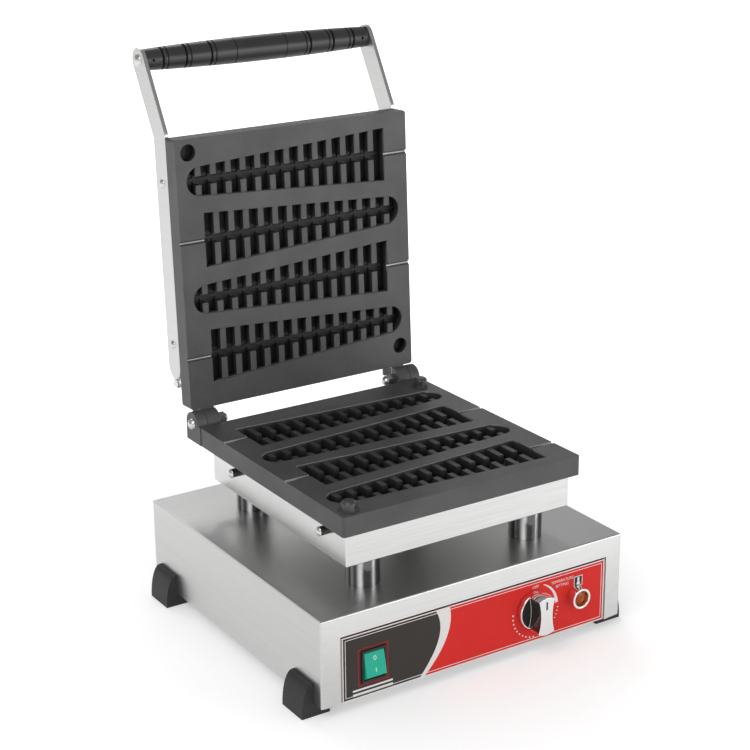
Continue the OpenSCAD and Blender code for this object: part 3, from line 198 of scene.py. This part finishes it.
# Cabinet shell: one stainless sheet folded round the base, with a mitred frame that slopes out
# to the control panel. Its outer bends are rounded and its brushed grain runs across the front.
def new_group(name, takes, gives):
    group = bpy.data.node_groups.new(name, "ShaderNodeTree")
    for flow, sockets in (("INPUT", takes), ("OUTPUT", gives)):
        for socket, kind in sockets.items():
            group.interface.new_socket(socket, in_out=flow, socket_type="NodeSocket" + kind)
    return group


def noise_node(nodes, **settings):
    noise = nodes.new("ShaderNodeTexNoise")
    for socket, value in settings.items():
        noise.inputs[socket].default_value = value
    return noise


def grain_group():
    group = new_group("sheet_grain",
                      {"Place": "Vector", "Facing": "Vector", "Fineness": "Float", "Depth": "Float"},
                      {"Streaks": "Float", "Clouds": "Float", "Normal": "Vector"})
    nodes, links = group.nodes, group.links
    given, made = nodes.new("NodeGroupInput"), nodes.new("NodeGroupOutput")
    noises = []
    along, side_facing = 0.012, 0.7
    for stretch in ((along, 1, 1), (1, along, 1)):
        squeeze = nodes.new("ShaderNodeVectorMath")
        squeeze.operation = "MULTIPLY"
        squeeze.inputs[1].default_value = stretch
        links.new(given.outputs["Place"], squeeze.inputs[0])
        noise = noise_node(nodes, Detail=3, Roughness=0.7)
        links.new(squeeze.outputs[0], noise.inputs["Vector"])
        links.new(given.outputs["Fineness"], noise.inputs["Scale"])
        noises.append(noise)
    split = nodes.new("ShaderNodeSeparateXYZ")
    links.new(given.outputs["Facing"], split.inputs[0])
    sideways = reckon(nodes, links, "ABSOLUTE", split.outputs["X"])
    is_side = reckon(nodes, links, "GREATER_THAN", sideways, side_facing)
    streaks = nodes.new("ShaderNodeMix")
    links.new(is_side, streaks.inputs["Factor"])
    links.new(noises[0].outputs[0], streaks.inputs["A"])
    links.new(noises[1].outputs[0], streaks.inputs["B"])
    clouds = noise_node(nodes, Scale=9, Detail=2)
    links.new(given.outputs["Place"], clouds.inputs["Vector"])
    bump = nodes.new("ShaderNodeBump")
    bump.inputs["Distance"].default_value = 0.0004
    links.new(given.outputs["Depth"], bump.inputs["Strength"])
    links.new(streaks.outputs[0], bump.inputs["Height"])
    links.new(streaks.outputs[0], made.inputs["Streaks"])
    links.new(clouds.outputs[0], made.inputs["Clouds"])
    links.new(bump.outputs[0], made.inputs["Normal"])
    return group


sheet_grain = grain_group()


def ramp(nodes, links, source, low, high, dark, light):
    scale = nodes.new("ShaderNodeValToRGB")
    scale.color_ramp.elements[0].position, scale.color_ramp.elements[1].position = low, high
    scale.color_ramp.elements[0].color = (*dark, 1)
    scale.color_ramp.elements[1].color = (*light, 1)
    links.new(source, scale.inputs["Fac"])
    return scale.outputs["Color"]


def spread(nodes, links, source, low, high):
    span = nodes.new("ShaderNodeMapRange")
    span.inputs["To Min"].default_value = low
    span.inputs["To Max"].default_value = high
    links.new(source, span.inputs["Value"])
    return span.outputs[0]


def steel(name, dark, light, rough, fineness, depth):
    made, nodes, links, surface = new_material(name)
    place = nodes.new("ShaderNodeTexCoord")
    grain = nodes.new("ShaderNodeGroup")
    grain.node_tree = sheet_grain
    links.new(place.outputs["Object"], grain.inputs["Place"])
    links.new(place.outputs["Normal"], grain.inputs["Facing"])
    grain.inputs["Fineness"].default_value = fineness
    grain.inputs["Depth"].default_value = depth
    colour = ramp(nodes, links, grain.outputs["Streaks"], 0.3, 0.7, dark, light)
    links.new(colour, surface.inputs["Base Color"])
    links.new(spread(nodes, links, grain.outputs["Clouds"], *rough), surface.inputs["Roughness"])
    links.new(grain.outputs["Normal"], surface.inputs["Normal"])
    surface.inputs["Metallic"].default_value = 1
    return made


def middle(edge):
    return (edge.verts[0].co + edge.verts[1].co) / (2 * MM)


def welded(node):
    bm = bmesh.new()
    bm.from_mesh(frame["nodes"][node].data)
    bmesh.ops.remove_doubles(bm, verts=bm.verts, dist=2e-6)
    bmesh.ops.dissolve_limit(bm, angle_limit=math.radians(0.6), verts=bm.verts, edges=bm.edges)
    return bm


SHARP = math.radians(28)
ON_FACE = 0.05


def ease(bm, width, segments, chosen=lambda edge: True):
    sharp = [e for e in bm.edges if e.is_manifold and e.calc_face_angle(0) > SHARP and chosen(e)]
    bmesh.ops.bevel(bm, geom=sharp, offset=width * MM, offset_type="OFFSET", affect="EDGES",
                    segments=segments, profile=0.5, material=-1, clamp_overlap=True)


def dressed(name, bm, material, body, *nodes):
    mesh = mesh_of(name, bm)
    mesh.polygons.foreach_set("use_smooth", [True] * len(mesh.polygons))
    mesh.set_sharp_from_angle(angle=math.radians(40))
    mesh.materials.append(material)
    piece = into_scene(name, mesh)
    evened = piece.modifiers.new("even_shading", "WEIGHTED_NORMAL")
    evened.keep_sharp = True
    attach(piece, body)
    if nodes:
        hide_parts(*nodes)
    return piece


def finish_nodes(material, *nodes):
    for node in nodes:
        data = frame["nodes"][node].data
        data.materials.clear()
        data.materials.append(material)


cabinet_steel = steel("cabinet_steel", (0.64, 0.64, 0.635), (0.70, 0.70, 0.695), (0.26, 0.36), 700, 0.06)
shell = welded("cabinet_shell")
low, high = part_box("cabinet_shell")
side_x, front_y, back_y, top_z = high.x / MM, low.y / MM, high.y / MM, high.z / MM
front_slope, mitre_reach = 2.3, 1.5


def outer_bend(edge):
    p = middle(edge)
    at_side = abs(abs(p.x) - side_x) < ON_FACE
    at_front = p.y < front_y + front_slope
    at_back = p.y > back_y - ON_FACE
    at_top = p.z > top_z - ON_FACE
    inside_frame = at_front and abs(p.x) < side_x - 1 and p.z < top_z - 1
    return at_side + at_front + at_back + at_top >= 2 and not inside_frame


ease(shell, 1.3, 4, outer_bend)
ease(shell, 0.25, 2, lambda e: middle(e).y < front_y + mitre_reach)
piece = dressed("cabinet_shell_folded", shell, cabinet_steel, "base", "cabinet_shell")
finish_nodes(cabinet_steel, "bottom_plate", "rear_panel", "panel_clamps", "front_panel")


# Corner feet: black moulded rubber, screwed under the cabinet's corners, with a rounded outer
# side and softened edges.
def pebble_group():
    group = new_group("moulded_skin", {"Place": "Vector", "Fineness": "Float", "Depth": "Float"},
                      {"Mottle": "Float", "Grain": "Float", "Normal": "Vector"})
    nodes, links = group.nodes, group.links
    given, made = nodes.new("NodeGroupInput"), nodes.new("NodeGroupOutput")
    grain = noise_node(nodes, Detail=4, Roughness=0.6)
    links.new(given.outputs["Place"], grain.inputs["Vector"])
    links.new(given.outputs["Fineness"], grain.inputs["Scale"])
    mottle = noise_node(nodes, Scale=22, Detail=3)
    links.new(given.outputs["Place"], mottle.inputs["Vector"])
    bump = nodes.new("ShaderNodeBump")
    bump.inputs["Distance"].default_value = 0.0005
    links.new(given.outputs["Depth"], bump.inputs["Strength"])
    links.new(grain.outputs[0], bump.inputs["Height"])
    links.new(mottle.outputs[0], made.inputs["Mottle"])
    links.new(grain.outputs[0], made.inputs["Grain"])
    links.new(bump.outputs[0], made.inputs["Normal"])
    return group


moulded_skin = pebble_group()


def moulded(name, dark, light, rough, fineness, depth, metallic=0.0):
    made, nodes, links, surface = new_material(name)
    place = nodes.new("ShaderNodeTexCoord")
    skin = nodes.new("ShaderNodeGroup")
    skin.node_tree = moulded_skin
    links.new(place.outputs["Object"], skin.inputs["Place"])
    skin.inputs["Fineness"].default_value = fineness
    skin.inputs["Depth"].default_value = depth
    colour = ramp(nodes, links, skin.outputs["Mottle"], 0.3, 0.7, dark, light)
    links.new(colour, surface.inputs["Base Color"])
    links.new(spread(nodes, links, skin.outputs["Grain"], *rough), surface.inputs["Roughness"])
    links.new(skin.outputs["Normal"], surface.inputs["Normal"])
    surface.inputs["Metallic"].default_value = metallic
    return made


foot_rubber = moulded("foot_rubber", (0.012, 0.012, 0.013), (0.02, 0.02, 0.021), (0.42, 0.6), 1400, 0.25)
corners = ("front_left", "front_right", "rear_left", "rear_right")
for corner in corners:
    foot = welded("foot_" + corner)
    ease(foot, 0.9, 3)
    piece = dressed("rubber_foot_" + corner, foot, foot_rubber, "base", "foot_" + corner)


# Standoffs: four short polished stainless tubes that hold the heater tray above the cabinet.
# The tubes carry painted reflections: long light and dark bands painted round each one.
polished_steel = steel("polished_steel", (0.66, 0.66, 0.66), (0.72, 0.72, 0.715), (0.07, 0.12), 1200, 0.03)
nodes, links = polished_steel.node_tree.nodes, polished_steel.node_tree.links


def blended(nodes, links, kind, share, under, over):
    mix = nodes.new("ShaderNodeMix")
    mix.data_type, mix.blend_type = "RGBA", kind
    for given, socket in ((share, "Factor"), (under, "A"), (over, "B")):
        feed(links, given, mix.inputs[socket])
    return mix.outputs["Result"]


# Painted reflection: the base colour is darkened in bands by the angle round each tube's axis.
around = nodes.new("ShaderNodeAttribute")
around.attribute_name = "way_round"
reflection_noise = noise_node(nodes, Scale=1.9, Detail=1)
links.new(around.outputs["Vector"], reflection_noise.inputs["Vector"])
painted_reflection_bands = ramp(nodes, links, reflection_noise.outputs[0], 0.44, 0.56, (0.22, 0.22, 0.22), (1, 1, 1))
colour = nodes["Principled BSDF"].inputs["Base Color"]
links.new(blended(nodes, links, "MULTIPLY", 1, colour.links[0].from_socket, painted_reflection_bands), colour)
for corner in corners:
    tube = welded("standoff_" + corner)
    ease(tube, 0.4, 2)
    piece = dressed("standoff_tube_" + corner, tube, polished_steel, "base", "standoff_" + corner)
    low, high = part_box("standoff_" + corner)
    axis = (low + high) / 2
    way_round = piece.data.attributes.new("way_round", "FLOAT_VECTOR", "POINT")
    for v, item in zip(piece.data.vertices, way_round.data):
        item.vector = Vector((v.co.x - axis.x, v.co.y - axis.y, 0)).normalized()


# Heater tray and lid cover: folded stainless boxes, brighter than the cabinet, with small bends.
# The tray is bolted to the tubes, and the cover is screwed to the back of the upper plate.
tray_steel = steel("tray_steel", (0.68, 0.68, 0.675), (0.78, 0.78, 0.775), (0.16, 0.26), 1000, 0.1)
tray = welded("heater_tray")
low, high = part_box("heater_tray")


def tray_bend(edge, lo=low / MM, hi=high / MM):
    p = middle(edge)
    at_side = abs(abs(p.x) - hi.x) < ON_FACE
    at_end = min(p.y - lo.y, hi.y - p.y) < ON_FACE
    return at_side + at_end + (p.z - lo.z < ON_FACE) >= 2


ease(tray, 1.1, 3, tray_bend)
piece = dressed("heater_tray_folded", tray, tray_steel, "base", "heater_tray")
finish_nodes(tray_steel, "lower_clamp_plate", "upper_clamp_plate")

cover = welded("lid_cover")
low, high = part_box("lid_cover")
cover_side, cover_back = high.x / MM, high.y / MM
rear_bend = 11.0
ease(cover, 0.5, 3,
     lambda e: abs(abs(middle(e).x) - cover_side) < ON_FACE or middle(e).y > cover_back - rear_bend)
piece = dressed("lid_cover_folded", cover, tray_steel, "lid", "lid_cover")


# Small steel fasteners: dome heads, hexagon heads and nuts in plain satin steel, and with them
# the rod inside the grip and the thermostat's spindle.
screw_steel = steel("screw_steel", (0.58, 0.58, 0.56), (0.7, 0.7, 0.68), (0.2, 0.32), 1500, 0.05)
finish_nodes(screw_steel, "rear_screws", "foot_screws", "standoff_bolts", "standoff_nuts", "tray_screws",
             "lower_clamp_screws", "upper_clamp_screws", "hinge_bolts", "hinge_nuts", "thermostat_spindle",
             "thermostat_bush_nut", "arm_screws", "cover_screws", "handle_rod", "handle_screws")


# Black moulded plastic: the spacers on the tray's sides, the lamp's body, two cable glands in the
# rear panel and one on the lid cover.
black_plastic = moulded("black_plastic", (0.014, 0.014, 0.015), (0.022, 0.022, 0.023),
                        (0.3, 0.45), 1800, 0.1)
finish_nodes(black_plastic, "tray_spacers", "lamp_body", "mains_gland", "base_lid_gland", "lid_gland")


# Baking plates: two dark castings with four fir-tree moulds each. Fins and floors have the soft
# radii of a casting, and the rims, left crisp when the face was ground flat, carry a painted highlight.
# The moulds are painted darker the deeper they go, a painted shade in the pockets.
cast_skin = moulded("cast_plate", (0.068, 0.068, 0.070), (0.094, 0.094, 0.096),
                    (0.34, 0.54), 800, 0.9, 0.3)
nodes, links = cast_skin.node_tree.nodes, cast_skin.node_tree.links
reader = nodes.new("ShaderNodeAttribute")
reader.attribute_name = "mould_depth"
depth = reader.outputs["Fac"]
colour = nodes["Principled BSDF"].inputs["Base Color"]
# Painted shade: the base colour darkens towards near black with the depth below the face.
painted_pocket_shade = blended(nodes, links, "MIX", depth, colour.links[0].from_socket, (0.006, 0.006, 0.007, 1))
# Painted highlight: a bright band in the colour just below the face, along the mould rims.
rim_highlight_band = nodes.new("ShaderNodeValToRGB")
rim_highlight_band.color_ramp.elements[0].position, rim_highlight_band.color_ramp.elements[1].position = 0.002, 0.16
rim_highlight_band.color_ramp.elements[0].color = rim_highlight_band.color_ramp.elements[1].color = (0, 0, 0, 1)
for place in (0.006, 0.10):
    rim_highlight_band.color_ramp.elements.new(place).color = (1, 1, 1, 1)
links.new(depth, rim_highlight_band.inputs["Fac"])
rim_highlight_colour = blended(nodes, links, "MIX", rim_highlight_band.outputs["Color"], painted_pocket_shade, (0.34, 0.34, 0.345, 1))
links.new(rim_highlight_colour, colour)
painted_rim_highlight = moulded("painted_rim_highlight", (0.24, 0.24, 0.245), (0.36, 0.36, 0.365), (0.28, 0.4), 1500, 0.2, 0.6)
moulds_half, moulds_deep = 128.5, 13.5
fins_half, fins_from, fins_to = 122, 1.0, 13
ground_off, full_shade_depth = 0.03, 5.0
rim_edge, rim_highlight_from, rim_highlight_to = 0.3, 0.04, 0.42


def inside_mould(edge, face_of, back_of):
    p = middle(edge)
    return fins_from < face_of(p) < fins_to and back_of(p) > fins_from and abs(p.x) < fins_half


def plate_casting(node, face_of, back_of):
    bm = welded(node)
    ease(bm, 1.0, 3, lambda e: inside_mould(e, face_of, back_of))
    ease(bm, 0.5, 1, lambda e: face_of(middle(e)) < rim_edge)
    ease(bm, 0.9, 3, lambda e: back_of(middle(e)) < ON_FACE)
    return bm


# Stores each vertex's mould depth, which drives the painted shade and the painted rim highlight, and gives
# the rim bevels the painted highlight material.
def paint_mould_shade_and_highlight(piece, face_of):
    depths = []
    for v in piece.data.vertices:
        p = v.co / MM
        in_mould = abs(p.x) < moulds_half and face_of(p) < moulds_deep
        depths.append(min(max((face_of(p) - ground_off) / full_shade_depth, 0), 1) if in_mould else 0)
    made = piece.data.attributes.new("mould_depth", "FLOAT", "POINT")
    made.data.foreach_set("value", depths)
    piece.data.materials.append(painted_rim_highlight)
    for face in piece.data.polygons:
        c = face.center / MM
        if rim_highlight_from < face_of(c) < rim_highlight_to and abs(c.x) < moulds_half:
            face.material_index = 1


plate_thick, lid_back = 18.7, 19.0
lower_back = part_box("lower_plate")[0].z / MM
lower_face = lower_back + plate_thick
lower = plate_casting("lower_plate", lambda p: lower_face - p.z, lambda p: p.z - lower_back)
piece = dressed("lower_casting", lower, cast_skin, "base", "lower_plate")
paint_mould_shade_and_highlight(piece, lambda p: lower_face - p.z)

hinge = Vector(frame["joints"][0]["pos_m"]) / MM
open_angle = math.radians(92.4)


def above_parting(p):
    lifted = p - hinge
    return lifted.y * math.sin(open_angle) + lifted.z * math.cos(open_angle)


knuckles_from = 70
upper_face = min(above_parting(v.co / MM) for v in frame["nodes"]["upper_plate"].data.vertices
                 if abs(v.co.x) < knuckles_from * MM)
upper = plate_casting("upper_plate",
                      lambda p: above_parting(p) - upper_face, lambda p: lid_back - above_parting(p))
piece = dressed("upper_casting", upper, cast_skin, "lid", "upper_plate")
paint_mould_shade_and_highlight(piece, lambda p: above_parting(p) - upper_face)

peg_metal = moulded("peg_metal", (0.07, 0.07, 0.072), (0.10, 0.10, 0.102), (0.28, 0.42), 1500, 0.15, 0.6)
pegs = welded("locating_pegs")
ease(pegs, 0.5, 3)
piece = dressed("locating_pegs_turned", pegs, peg_metal, "base", "locating_pegs")


# Heating: tubular elements dulled by heat, clamped to the plates' backs under fibre boards, a
# ceramic block in the cabinet, a thermostat with its copper bulb and capillary, and the leads.
heater_metal = steel("heater_metal", (0.20, 0.19, 0.18), (0.32, 0.30, 0.28), (0.35, 0.5), 1200, 0.1)
finish_nodes(heater_metal, "lower_heater", "upper_heater", "thermostat_body")
fibre_board = moulded("fibre_board", (0.62, 0.58, 0.48), (0.74, 0.70, 0.60), (0.8, 0.95), 900, 0.6)
finish_nodes(fibre_board, "lower_insulation", "upper_insulation")
ceramic = moulded("ceramic", (0.74, 0.72, 0.66), (0.80, 0.78, 0.72), (0.25, 0.4), 600, 0.05)
finish_nodes(ceramic, "terminal_block")
copper = steel("copper", (0.55, 0.26, 0.15), (0.68, 0.34, 0.20), (0.25, 0.4), 1200, 0.05)
finish_nodes(copper, "thermostat_bulb", "capillary_tube")
brass = steel("brass", (0.66, 0.48, 0.18), (0.76, 0.58, 0.26), (0.25, 0.4), 1200, 0.05)
finish_nodes(brass, "switch_terminals")
silicone = moulded("silicone_lead", (0.36, 0.05, 0.03), (0.46, 0.08, 0.05), (0.45, 0.6), 1500, 0.1)
finish_nodes(silicone, "heater_leads")


# Flat arms: two bars of bright steel that run along the lid cover and bend up to the handle.
# Each is screwed to the cover's side, and its edges are softened by polishing.
arm_steel = steel("arm_steel", (0.55, 0.55, 0.545), (0.62, 0.62, 0.615), (0.26, 0.36), 1100, 0.06)
for side in ("left", "right"):
    bar = welded("arm_" + side)
    ease(bar, 0.5, 3)
    piece = dressed("arm_bar_" + side, bar, arm_steel, "lid", "arm_" + side)


# Handle grip: black moulded plastic over the steel rod, held by a screw at both ends. Narrow and
# wide rings are turned into it, and the rings are painted a darker black, a painted shade in the grooves.
grip_plastic = moulded("grip_plastic", (0.022, 0.022, 0.023), (0.032, 0.032, 0.033),
                       (0.30, 0.42), 1600, 0.16)
painted_groove_shade = moulded("painted_groove_shade", (0.003, 0.003, 0.003), (0.006, 0.006, 0.006),
                       (0.5, 0.65), 1600, 0.1)
grip = welded("handle_grip")
low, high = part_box("handle_grip")
grip_axis = (low + high) / 2
ring_slope, skin_radius = 0.06, 9


def cut_ring(bm, at, width, depth):
    for x in (at, at + ring_slope, at + width - ring_slope, at + width):
        bmesh.ops.bisect_plane(bm, geom=bm.verts[:] + bm.edges[:] + bm.faces[:], dist=1e-7,
                               plane_co=(x * MM, 0, 0), plane_no=(1, 0, 0))
    for v in bm.verts:
        if at + ring_slope / 2 < v.co.x / MM < at + width - ring_slope / 2:
            out = Vector((0, v.co.y - grip_axis.y, v.co.z - grip_axis.z))
            if out.length > skin_radius * MM:
                v.co -= out.normalized() * depth * MM


rings = [(-28.5, 0.9, 0.6), (27.5, 0.9, 0.6)]
for places, width, depth in (((50.4, 77.1, 101.3), 1.4, 0.8), ((55.3, 82.0, 106.2), 2.2, 1.3)):
    rings += [(side * at - width / 2, width, depth) for at in places for side in (1, -1)]
for at, width, depth in rings:
    cut_ring(grip, at, width, depth)
ease(grip, 0.2, 2)
piece = dressed("handle_grip_ringed", grip, grip_plastic, "lid", "handle_grip")
# Painted shade: the faces inside the rings get a darker black.
piece.data.materials.append(painted_groove_shade)
for face in piece.data.polygons:
    x = face.center.x / MM
    if any(at < x < at + width for at, width, _ in rings):
        face.material_index = 1


# Control label: a printed sheet, red at the right and black-brown at the left, with a white sweep
# between the fields, thin white borders, a maroon frame round the switch and a dial scale.
# The inks lie over one another in three thin coats.
def printed(name, dark, light):
    made = moulded(name, dark, light, (0.34, 0.44), 300, 0.004)
    made.node_tree.nodes["Principled BSDF"].inputs["Specular IOR Level"].default_value = 0.22
    return made


label_red = printed("label_red", (0.70, 0.020, 0.016), (0.74, 0.023, 0.018))
label_dark = printed("label_dark", (0.040, 0.034, 0.030), (0.044, 0.038, 0.034))
label_white = printed("label_white", (0.82, 0.80, 0.78), (0.85, 0.83, 0.81))
label_maroon = printed("label_maroon", (0.26, 0.018, 0.018), (0.30, 0.020, 0.020))
finish_nodes(label_red, "control_label")
low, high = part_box("control_label")
label_y, label_x, label_low, label_top = low.y / MM, high.x / MM, low.z / MM, high.z / MM
first_coat, second_coat, third_coat = 0.06, 0.12, 0.18


def printed_piece(name, mesh, material):
    mesh.materials.append(material)
    piece = into_scene(name, mesh)
    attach(piece, "base")


def flat_print(name, outlines, material, lift):
    bm = bmesh.new()
    for outline in outlines:
        bm.faces.new([bm.verts.new((x * MM, (label_y - lift) * MM, z * MM)) for x, z in outline])
    bmesh.ops.triangulate(bm, faces=bm.faces[:])
    bmesh.ops.reverse_faces(bm, faces=[f for f in bm.faces if f.normal.y > 0])
    printed_piece(name, mesh_of(name, bm), material)


def between(left_edge, right_edge):
    pairs = list(zip(left_edge, right_edge))
    return [[a, b, next_b, next_a] for (a, b), (next_a, next_b) in zip(pairs, pairs[1:])]


def strip(x0, z0, x1, z1):
    return [(x0, z0), (x1, z0), (x1, z1), (x0, z1)]


def border(inset, width, x0=-label_x, z0=label_low, x1=label_x, z1=label_top):
    a, b = inset, inset + width
    return [strip(x0 + a, z0 + a, x1 - a, z0 + b), strip(x0 + a, z1 - b, x1 - a, z1 - a),
            strip(x0 + a, z0 + b, x0 + b, z1 - b), strip(x1 - b, z0 + b, x1 - a, z1 - b)]


def curve_through(points, count):
    made = []
    for i in range(count + 1):
        z = points[0][1] + (points[-1][1] - points[0][1]) * i / count
        made.append((sum(x * math.prod((z - other) / (own - other) for _, other in points if other != own)
                         for x, own in points), z))
    return made


dark_edge = curve_through([(-64.5, label_low), (-48.5, label_low + 22), (-42, 55), (-47.2, label_top)], 24)
red_edge = curve_through([(-59.5, label_low), (-42, 33), (-32.6, 52), (-32, label_top)], 24)
sheet_edge = [(-label_x, z) for _, z in dark_edge]
flat_print("print_dark_field", between(sheet_edge, dark_edge), label_dark, first_coat)
flat_print("print_white_sweep", between(dark_edge, red_edge), label_white, second_coat)
flat_print("print_white_borders", border(0, 1.1) + border(3.0, 0.6), label_white, third_coat)
flat_print("print_switch_frame", border(0, 1.5, -128.6, 23.8, -96.8, 60.2), label_maroon, second_coat)
flat_print("print_stripes", [strip(-134, 19.9, -92.6, 21.7), strip(-134, 15.6, -92.6, 17.9)],
           label_white, second_coat)
knob_at = (frame["joints"][2]["pos_m"][0] / MM, frame["joints"][2]["pos_m"][2] / MM)
dial_at = (knob_at[0] + 2.2, knob_at[1] - 3.0)


def ring_point(degrees, radius):
    turn = math.radians(degrees)
    return (dial_at[0] + radius * math.cos(turn), dial_at[1] + radius * math.sin(turn))


def dial_mark(degrees, half, inner, outer):
    return [ring_point(degrees - half, inner), ring_point(degrees + half, inner),
            ring_point(degrees + half, outer), ring_point(degrees - half, outer)]


arc_steps = 25
arc_outer = [ring_point(70 - 2.6 * i, 26.2) for i in range(arc_steps + 1)]
arc_inner = [ring_point(70 - 2.6 * i, 25.6 - 2.9 * (i / arc_steps) ** 0.8) for i in range(arc_steps + 1)]
dots = [dial_mark(a, 1.6, 25.0, 26.5) for a in range(176, 272, 10)]
ticks = [dial_mark(a, 0.8, 25.0, 26.6) for a in range(-46, 0, 8)]
flat_print("print_dial_arc", between(arc_outer, arc_inner), label_white, first_coat)
flat_print("print_dial_marks", dots + ticks, label_white, second_coat)
flat_print("print_icon_white", [strip(108.7, 55.7, 118.7, 65.9)], label_white, first_coat)
flat_print("print_icon_dark", [strip(109.4, 56.4, 118.0, 65.2)], label_dark, second_coat)
flat_print("print_icon_gauge", [strip(112.7, 59.6, 114.9, 64.6), strip(111.9, 57.1, 115.7, 59.6)],
           label_white, third_coat)


def lettering(name, words, size, x, z):
    curve = bpy.data.curves.new(name, "FONT")
    curve.body, curve.size, curve.align_x, curve.space_line = words, size * MM, "CENTER", 1.2
    drawn = bpy.data.objects.new(name + "_outline", curve)
    mesh = bpy.data.meshes.new_from_object(drawn)
    to_label = Matrix.Translation((x * MM, (label_y - second_coat) * MM, z * MM))
    mesh.transform(to_label @ Matrix.Rotation(math.pi / 2, 4, "X"))
    bpy.data.objects.remove(drawn)
    printed_piece(name, mesh, label_white)


lettering("print_setting_words", "TEMPERATURE\nSETTING", 3.9, 94.7, 65.2)
lettering("print_dial_off", "OFF", 4.2, 64.0, 66.4)


# Switch: a glossy black housing with a bezel, snapped into the panel from the front, and a green
# translucent rocker on two stubs, marked O above and I below.
glossy_plastic = moulded("glossy_plastic", (0.012, 0.012, 0.013), (0.018, 0.018, 0.019),
                         (0.16, 0.26), 900, 0.05)
housing = welded("switch_housing")
ease(housing, 0.5, 3, lambda e: middle(e).y < label_y - ON_FACE)
piece = dressed("switch_bezel_housing", housing, glossy_plastic, "base", "switch_housing")

rocker_green = moulded("rocker_green", (0.001, 0.36, 0.24), (0.002, 0.44, 0.30), (0.14, 0.24), 700, 0.04)
surface = rocker_green.node_tree.nodes["Principled BSDF"]
surface.inputs["Specular IOR Level"].default_value = 0.3
surface.inputs["Coat Weight"].default_value = 0.2
# A faint painted glow on the rocker, standing in for light through the green plastic.
surface.inputs["Emission Color"].default_value = (0.0, 0.6, 0.38, 1)
surface.inputs["Emission Strength"].default_value = 0.06
key = welded("rocker")
front_face = max((f for f in key.faces if f.normal.y < -0.8), key=lambda f: f.calc_area())
key_centre, key_normal = front_face.calc_center_median(), front_face.normal.copy()
key_up = Vector((1, 0, 0)).cross(key_normal)
key_up = key_up if key_up.z > 0 else -key_up
key_half = max(abs((v.co - key_centre).dot(key_up)) for v in front_face.verts)
ease(key, 0.5, 3)
piece = dressed("rocker_key", key, rocker_green, "rocker", "rocker")

mark_white = printed("mark_white", (0.55, 0.80, 0.70), (0.62, 0.86, 0.76))
mark_lift = 0.08


def key_mark(name, outlines):
    bm = bmesh.new()
    lift = key_centre + key_normal * mark_lift * MM
    for outline in outlines:
        bm.faces.new([bm.verts.new(lift + Vector((x * MM, 0, 0)) + key_up * z * MM) for x, z in outline])
    bmesh.ops.reverse_faces(bm, faces=[f for f in bm.faces if f.normal.dot(key_normal) < 0])
    piece = into_scene(name, mesh_of(name, bm))
    piece.data.materials.append(mark_white)
    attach(piece, "rocker")


def oval(wide, tall, z):
    turns = [math.tau * i / 32 for i in range(33)]
    return [(wide * math.cos(a), z + tall * math.sin(a)) for a in turns]


mark_z = 0.5 * key_half / MM
key_mark("rocker_mark_off", between(oval(1.6, 2.1, mark_z), oval(0.8, 1.3, mark_z)))
key_mark("rocker_mark_on", [strip(-0.45, -mark_z - 1.8, 0.45, -mark_z + 1.8)])


# Knob: chrome plated, a base disc with a waisted bar across it and two deep scoops, their walls and floors
# coloured dark.
# It is pushed onto the spindle, and a thin bead runs round its rim.
chrome = steel("knob_chrome", (0.84, 0.84, 0.84), (0.90, 0.90, 0.89), (0.05, 0.11), 1400, 0.02)
scoop_dark = moulded("scoop_dark", (0.020, 0.017, 0.016), (0.034, 0.029, 0.027),
                       (0.10, 0.18), 900, 0.03)
scoop_dark.node_tree.nodes["Principled BSDF"].inputs["Coat Weight"].default_value = 0.6
knob = welded("control_knob")
low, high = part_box("control_knob")
knob_front, knob_back = low.y / MM, high.y / MM
rim_radius, disc_height, scoop_depth = 17.6, 3.5, 6
ease(knob, 0.45, 3, lambda e: middle(e).y < knob_back - 1)
knob_mesh = dressed("knob_turned", knob, chrome, "knob", "control_knob")
knob_mesh.data.materials.append(scoop_dark)
for face in knob_mesh.data.polygons:
    c = face.center / MM
    from_axis = math.hypot(c.x - knob_at[0], c.z - knob_at[1])
    wall = abs(face.normal.y) < 0.15 and from_axis < rim_radius and c.y < knob_back - disc_height
    scoop_floor = face.normal.y < -0.97 and c.y > knob_front + scoop_depth
    if wall or scoop_floor:
        face.material_index = 1
bead = bmesh.new()
bead_radius, bead_rise = 0.8, 4.5
bmesh.ops.create_circle(bead, segments=12, radius=bead_radius * MM)
bead_start = ((knob_at[0] + rim_radius) * MM, (knob_back - bead_rise) * MM, knob_at[1] * MM)
bmesh.ops.translate(bead, verts=bead.verts, vec=bead_start)
bmesh.ops.spin(bead, geom=bead.verts[:] + bead.edges[:], cent=(knob_at[0] * MM, 0, knob_at[1] * MM),
               axis=(0, 1, 0), angle=math.tau, steps=72, use_merge=True, use_duplicate=False)
bmesh.ops.recalc_face_normals(bead, faces=bead.faces[:])
piece = dressed("knob_rim_bead", bead, chrome, "knob")
pointer_black = moulded("pointer_black", (0.02, 0.02, 0.022), (0.03, 0.03, 0.032), (0.3, 0.4), 1500, 0.05)
finish_nodes(pointer_black, "knob_pointer")


# Signal lamp: a chrome ring screwed onto the lamp's plastic body, round a recessed lens moulded
# in amber. Ring and body clamp the panel between them.
ring = welded("lamp_ring")
ease(ring, 0.6, 4)
piece = dressed("lamp_ring_chromed", ring, chrome, "base", "lamp_ring")
lens = welded("lamp_lens")
lens_amber = moulded("lens_amber", (0.30, 0.040, 0.002), (0.46, 0.085, 0.004), (0.10, 0.18), 300, 0.05)
surface = lens_amber.node_tree.nodes["Principled BSDF"]
surface.inputs["Specular IOR Level"].default_value = 0.25
surface.inputs["Coat Weight"].default_value = 0.1
surface.inputs["Emission Color"].default_value = (0.9, 0.22, 0.03, 1)
surface.inputs["Emission Strength"].default_value = 0.03
piece = dressed("lamp_lens_moulded", lens, lens_amber, "base", "lamp_lens")
